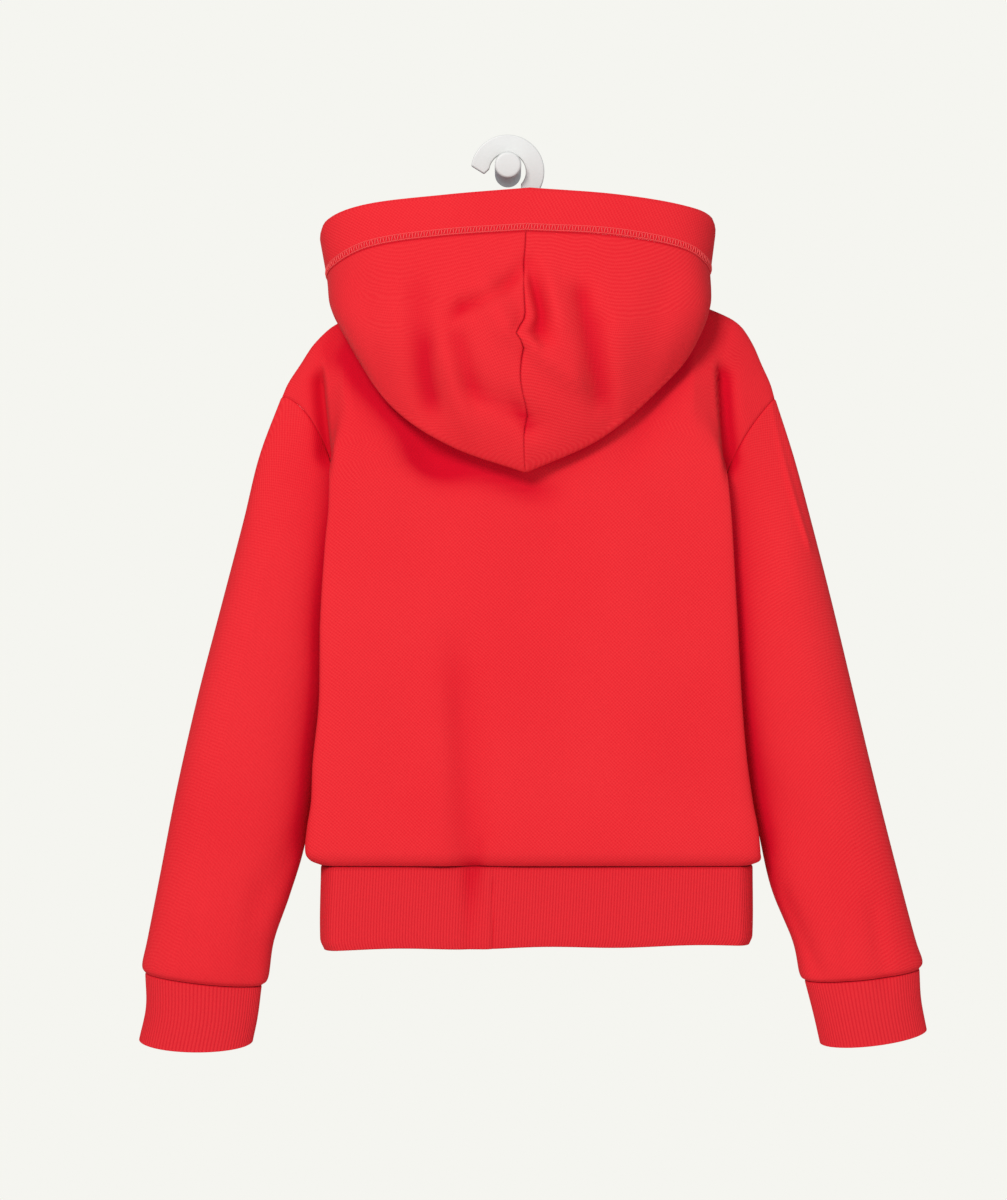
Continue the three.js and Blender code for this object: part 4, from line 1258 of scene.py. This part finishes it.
@dataclass
class CoverStitch:
    """Cover stitch that holds the band: a ladder of short threads between two rows of thread."""

    finishes: Finishes
    pitch: float = 2.3
    low: float = 1.0
    high: float = 5.6
    radius: float = 0.46
    lift: float = 0.45
    slant: float = 0.45
    steps: int = 7
    sides: int = 6

    def tubes(self, paths: Array, up: Array, radius: Array) -> tuple[Array, Array]:
        """Round threads along many paths at once: a ring of points at each step, closed at both ends.

        Args:
            paths: centre lines, thread by step.
            up: directions away from the cloth, thread by step.
            radius: the thread's radius at each step.

        Returns:
            Points and the corner numbers of the faces.
        """
        tangent = unit(np.gradient(paths, axis=1))
        side = unit(np.cross(tangent, up))
        angle = 2 * np.pi * np.arange(self.sides) / self.sides
        ring = side[:, :, None] * np.cos(angle)[:, None] + up[:, :, None] * np.sin(angle)[:, None]
        points = paths[:, :, None] + ring * radius[None, :, None, None]
        numbers = np.arange(points[..., 0].size).reshape(points.shape[:3])
        closed = np.concatenate([numbers, numbers[:, :, :1]], axis=2)
        walls = [closed[:, :-1, :-1], closed[:, 1:, :-1], closed[:, 1:, 1:], closed[:, :-1, 1:]]
        start, end = numbers[:, 0], numbers[:, -1]
        faces = [
            np.stack(walls, axis=-1).reshape(-1, 4),
            start[:, [0, 1, 2, 3]],
            start[:, [0, 3, 4, 5]],
            end[:, [3, 2, 1, 0]],
            end[:, [5, 4, 3, 0]],
        ]
        return points.reshape(-1, 3), np.concatenate(faces)

    def build(self, seam: Array, rim: Array) -> None:
        """Lays the threads on the band.

        Args:
            seam: the band's lower edge, point by point all the way round.
            rim: its upper edge, point for point.
        """
        loop = np.concatenate([seam, seam[:1]])
        length = np.concatenate([[0.0], np.cumsum(np.linalg.norm(np.diff(loop, axis=0), axis=-1))])
        count = round(length[-1] / self.pitch)
        way = unit(rim - seam)
        along = unit(np.roll(seam, -1, axis=0) - np.roll(seam, 1, axis=0))
        out = unit(np.cross(way, along))

        def read(values: Array, places: Array) -> Array:
            """Values of the loop at any distance along it."""
            held = np.concatenate([values, values[:1]])
            columns = [np.interp(places % length[-1], length, held[:, k]) for k in range(3)]
            return np.stack(columns, axis=-1)

        def lay(places: Array, height: Array, lift: Array) -> tuple[Array, Array]:
            """Path over the cloth and the directions away from it."""
            up = unit(read(out, places))
            path = read(seam, places) + unit(read(way, places)) * height[..., None] + up * lift[..., None]
            return path, up

        k = np.linspace(0.0, 1.0, self.steps)[None, :]
        middle = (np.arange(count) * self.pitch)[:, None]
        lean = self.slant * np.where(np.arange(count) % 2, 1, -1)[:, None]
        rungs = lay(middle + lean * (2 * k - 1), mix(self.low, self.high, k) + 0 * middle,
                    self.lift * (1 - 2.6 * (2 * k - 1) ** 4) + 0 * middle)
        ends = self.radius * np.sqrt(1 - 0.75 * (2 * k[0] - 1) ** 4)
        places = np.linspace(0.0, length[-1], 4 * count + 1)[None, :]
        wobble = 0.1 * np.sin(2 * np.pi * places / self.pitch)
        groups = [self.tubes(*rungs, ends)]
        for height in (self.low, self.high):
            row = lay(places, height + 2 * wobble, wobble)
            groups.append(self.tubes(*row, np.full(places.shape[1], 0.7 * self.radius)))
        base = np.cumsum([0] + [len(points) for points, _ in groups])
        points = np.concatenate([points for points, _ in groups])
        faces = np.concatenate([faces + base[i] for i, (_, faces) in enumerate(groups)])
        uvs = (points[faces.ravel()][:, [0, 2]]) * MM
        piece = mesh_object("band_cover_stitch", points, faces, uvs, self.finishes.thread)


@dataclass
class Hanger:
    """Flat moulded hanger, of which the hook shows, and the round wall peg that it hangs on."""

    trunk: Trunk
    finishes: Finishes
    hook_x: float = -0.4
    hook_z: float = -3.7
    inner: float = 14.7
    outer: float = 29.5
    outer_end: float = 171.0
    inner_end: float = 172.0
    tip_x: float = -19.1
    tip_z: float = -5.6
    stem_left: float = 10.4
    stem_right: float = 25.6
    thick: float = 6.0
    edge: float = 1.1
    arm: float = 12.0
    under: float = 4.4
    left_x: float = -136.0
    right_x: float = 168.0
    arms_from: tuple[float, float] = (-67.0, 103.0)
    crotch_x: float = 18.0
    crotch_z: float = -74.0
    arc_steps: int = 90
    arm_steps: int = 24
    peg_radius: float = 10.6
    peg_length: float = 70.0
    peg_round: float = 2.0
    peg_sides: int = 96

    def arc(self, radius: float, start: float, end: float) -> Array:
        """Points of the hook's ring from one angle to another, in degrees."""
        angle = np.radians(np.linspace(start, end, self.arc_steps))
        return np.stack([self.hook_x + radius * np.cos(angle), self.hook_z + radius * np.sin(angle)], -1)

    def arm_line(self, start: float, end: float, drop: float) -> Array:
        """Points under the shoulder line, from one place to another."""
        x = np.linspace(start, end, self.arm_steps)
        return np.stack([x, self.trunk.ridge.at("z", x) - self.under - drop], -1)

    def outline(self) -> Array:
        """The hanger's flat outline: hook with its slanting tip, stem and two sloping arms."""
        join_right = -math.degrees(math.acos((self.stem_right - self.hook_x) / self.outer))
        join_left = -math.degrees(math.acos((self.stem_left - self.hook_x) / self.inner))
        left, right = self.arms_from
        return np.concatenate([
            self.arc(self.outer, join_right, self.outer_end),
            [[self.tip_x, self.tip_z]],
            self.arc(self.inner, self.inner_end, join_left),
            [[self.stem_left, self.crotch_z + 6]],
            self.arm_line(left, self.left_x, 0.0),
            self.arm_line(self.left_x + 3, left, self.arm),
            [[self.crotch_x, self.crotch_z - self.arm - 8]],
            self.arm_line(right, self.right_x - 3, self.arm),
            self.arm_line(self.right_x, right, 0.0),
            [[self.stem_right, self.crotch_z + 6]],
        ])

    def build(self) -> None:
        """Makes the hanger from its outline, with rounded edges, and the peg as a turned profile."""
        outline = self.outline()
        count = len(outline)
        mesh = bpy.data.meshes.new("hanger_body")
        near = place(outline[:, 0], self.trunk.middle_y - self.thick / 2, outline[:, 1])
        far = place(outline[:, 0], self.trunk.middle_y + self.thick / 2, outline[:, 1])
        corner = np.arange(count)
        following = np.roll(corner, -1)
        sides = np.stack([corner, corner + count, following + count, following], axis=-1)
        faces = [corner.tolist(), (corner[::-1] + count).tolist(), *sides.tolist()]
        mesh.from_pydata((np.concatenate([near, far]) * MM).tolist(), [], faces)
        mesh.materials.append(self.finishes.plastic)
        mesh.update()
        edge = put(mesh, "hanger").modifiers.new("edge", "BEVEL")
        edge.width = self.edge * MM
        edge.segments = 3
        edge.limit_method = "ANGLE"
        edge.angle_limit = math.radians(50)
        self.peg()

    def peg(self) -> None:
        """Turned peg: a round rod with a rounded free end, closed by a flat cap at both ends."""
        turn = np.linspace(0, np.pi / 2, 7)
        depth = self.peg_length - self.peg_round + self.peg_round * np.sin(turn)
        radius = self.peg_radius - self.peg_round + self.peg_round * np.cos(turn)
        depth = np.concatenate([[0.0], [0.3], depth, [self.peg_length]])
        radius = np.concatenate([[self.peg_radius - 0.3], [self.peg_radius], radius, [radius[-1] - 1.5]])
        angle = 2 * np.pi * np.arange(self.peg_sides) / self.peg_sides
        points = place(radius[:, None] * np.cos(angle), -depth[:, None], radius[:, None] * np.sin(angle))
        walls = Cloth(points, closed=True, flip=False).quads()
        flat = points.reshape(-1, 3)
        mesh = bpy.data.meshes.new("peg_rod")
        count = self.peg_sides
        caps = [list(range(count - 1, -1, -1)), list(range(len(flat) - count, len(flat)))]
        mesh.from_pydata((flat * MM).tolist(), [], [*walls.tolist(), *caps])
        mesh.update()
        mesh.materials.append(self.finishes.plastic)
        mesh.shade_smooth()
        put(mesh, "wall_peg")


@dataclass
class Studio:
    """Camera, soft lights, pale surroundings and a plain pale floor."""

    camera_x: float = -3.6
    camera_y: float = -3060.0
    camera_z: float = -347.2
    lens: float = 112.5
    backdrop: Colour = (0.913, 0.913, 0.871, 1.0)
    floor_z: float = -1500.0
    floor_half: float = 1500.0

    def build(self) -> None:
        """Sets all of it up."""
        scene = bpy.context.scene
        scene.view_settings.view_transform = "Standard"
        data = bpy.data.cameras.new("view")
        data.lens = self.lens
        data.sensor_width = 36
        camera = bpy.data.objects.new("view", data)
        camera.location = (self.camera_x * MM, self.camera_y * MM, self.camera_z * MM)
        camera.rotation_euler = (math.pi / 2, 0, 0)
        scene.collection.objects.link(camera)
        scene.camera = camera
        self.surroundings(scene)
        self.lamp("key", (-1.4, -3.7, 1.9), 1.2, 129.0, (1.0, 0.98, 0.96))
        self.lamp("fill", (0.9, -2.7, -1.0), 2.2, 23.0, (0.98, 0.98, 1.0))
        self.floor()

    def surroundings(self, scene: bpy.types.Scene) -> None:
        """Pale surroundings: plain to the eye, and weaker as light."""
        world = bpy.data.worlds.new("pale room")
        world.use_nodes = True
        nodes, links = world.node_tree.nodes, world.node_tree.links
        nodes.clear()
        seen = nodes.new("ShaderNodeBackground")
        seen.inputs["Color"].default_value = self.backdrop
        light = nodes.new("ShaderNodeBackground")
        light.inputs["Color"].default_value = (0.9, 0.93, 1.0, 1.0)
        light.inputs["Strength"].default_value = 0.34
        path = nodes.new("ShaderNodeLightPath")
        either = nodes.new("ShaderNodeMixShader")
        output = nodes.new("ShaderNodeOutputWorld")
        links.new(path.outputs["Is Camera Ray"], either.inputs[0])
        links.new(light.outputs[0], either.inputs[1])
        links.new(seen.outputs[0], either.inputs[2])
        links.new(either.outputs[0], output.inputs["Surface"])
        scene.world = world

    def lamp(
        self,
        name: str,
        where: tuple[float, ...],
        size: float,
        power: float,
        tint: tuple[float, ...],
    ) -> None:
        """Square soft light, in metres and watts, turned to the garment's middle."""
        data = bpy.data.lights.new(name, "AREA")
        data.size = size
        data.energy = power
        data.color = tint
        lamp = bpy.data.objects.new(name, data)
        lamp.location = where
        aim = np.array([0.0, -0.06, -0.35]) - np.array(where)
        yaw = math.atan2(aim[0], -aim[1])
        pitch = math.atan2(math.hypot(aim[0], aim[1]), -aim[2])
        lamp.rotation_euler = (pitch, 0, math.pi + yaw)
        bpy.context.scene.collection.objects.link(lamp)

    def floor(self) -> None:
        """Plain pale floor, far below."""
        half, z = self.floor_half * MM, self.floor_z * MM
        mesh = bpy.data.meshes.new("floor")
        corners = [(-half, -half, z), (half, -half, z), (half, half, z), (-half, half, z)]
        mesh.from_pydata(corners, [], [(0, 1, 2, 3)])
        mesh.materials.append(SatinPlastic("floor_paint", (0.85, 0.85, 0.83, 1.0), 0.8).build())
        floor = bpy.data.objects.new("floor", mesh)
        bpy.context.scene.collection.objects.link(floor)


SLEEVE_LEFT = Table(RINGS, (
    (0, -181.6, -184, -133.4, -372, 17, 0),
    (1, -199.5, -232, -138.6, -394, 22, 0),
    (2, -212.5, -285, -143, -421, 24.5, 0),
    (3, -230, -352, -149, -457, 26, 0),
    (4, -249, -425, -155.5, -500, 26, 0),
    (5, -266, -500, -163.5, -546, 26, 0),
    (6, -279, -567, -175, -584, 25, 1),
    (7, -289, -618, -187.5, -620, 24, 2),
    (8, -293.4, -639, -192, -649, 22.5, 3),
    (9, -291, -645.6, -197, -655.6, 19, 3),
))
SLEEVE_RIGHT = Table(RINGS, (
    (0, 214.4, -185.6, 167, -372, 17, 0),
    (1, 229.5, -233, 172.5, -394, 22, 0),
    (2, 243.5, -285, 178, -421, 24.5, 0),
    (3, 260.5, -352, 185, -456, 26, 0),
    (4, 278, -425, 192, -495, 26, 0),
    (5, 296, -500, 200.5, -532, 26, 0),
    (6, 313, -567, 211, -578, 25, 1),
    (7, 326.5, -618, 228, -620, 24, 2),
    (8, 332.4, -636, 233.6, -646, 22.5, 3),
    (9, 330, -642.2, 237.5, -651.4, 19, 3.5),
))
CUFF_LEFT = Table(RINGS, (
    (0, -290.6, -645.9, -197.8, -656, 18.6, 3),
    (1, -290, -673, -201, -681, 18.6, 5),
    (2, -295.5, -699.5, -205, -700.5, 18, 8),
))
CUFF_RIGHT = Table(RINGS, (
    (0, 329.6, -642.5, 238.2, -651.8, 18.6, 3.5),
    (1, 331, -667, 245, -678, 18.6, 5),
    (2, 335.5, -691.5, 250.5, -702, 18, 6),
))


def main() -> None:
    """Builds the garment piece by piece, then the hanger, the peg and the studio."""
    logging.basicConfig(level=logging.INFO, format="%(name)s: %(message)s")
    # Painted shade: the colour that crevices, valleys, folds and rib grooves are painted towards.
    painted_shade = (0.64, 0.003, 0.018, 1)
    red = Knit("sweatshirt_knit", (0.87, 0.038, 0.044, 1), (0.76, 0.014, 0.025, 1), painted_shade)
    rib = Knit(
        "rib_knit",
        light=(0.82, 0.032, 0.040, 1),
        # light is the rib tops' colour and deep the grooves', a painted shade between the ribs.
        deep=(0.68, 0.014, 0.026, 1),
        painted_shade=painted_shade,
        shade_from=0.25,
        ribbed=True,
    )
    thread = Knit(
        "thread",
        light=(1.0, 0.13, 0.13, 1),
        deep=(0.95, 0.09, 0.09, 1),
        painted_shade=painted_shade,
        wale=0.5,
        course=0.5,
        diagonal=0.9,
        shade_from=-1.0,
    )
    plastic = SatinPlastic("white_plastic", (0.80, 0.81, 0.785, 1), 0.38)
    finishes = Finishes(red.build(), rib.build(), thread.build(), plastic.build())
    trunk = Trunk()
    ribs = Ribs()
    Hanger(trunk, finishes).build()
    Panels(trunk, finishes).build()
    for half, sleeve, cuff in ((LEFT, SLEEVE_LEFT, CUFF_LEFT), (RIGHT, SLEEVE_RIGHT, CUFF_RIGHT)):
        Sleeve(half, sleeve, trunk, finishes).build()
        Cuff(half, cuff, trunk, ribs, finishes).build()
    HemRib(trunk, ribs, finishes).build()
    Hood(trunk, finishes).build()
    Studio().build()


if __name__ == "__main__":
    main()
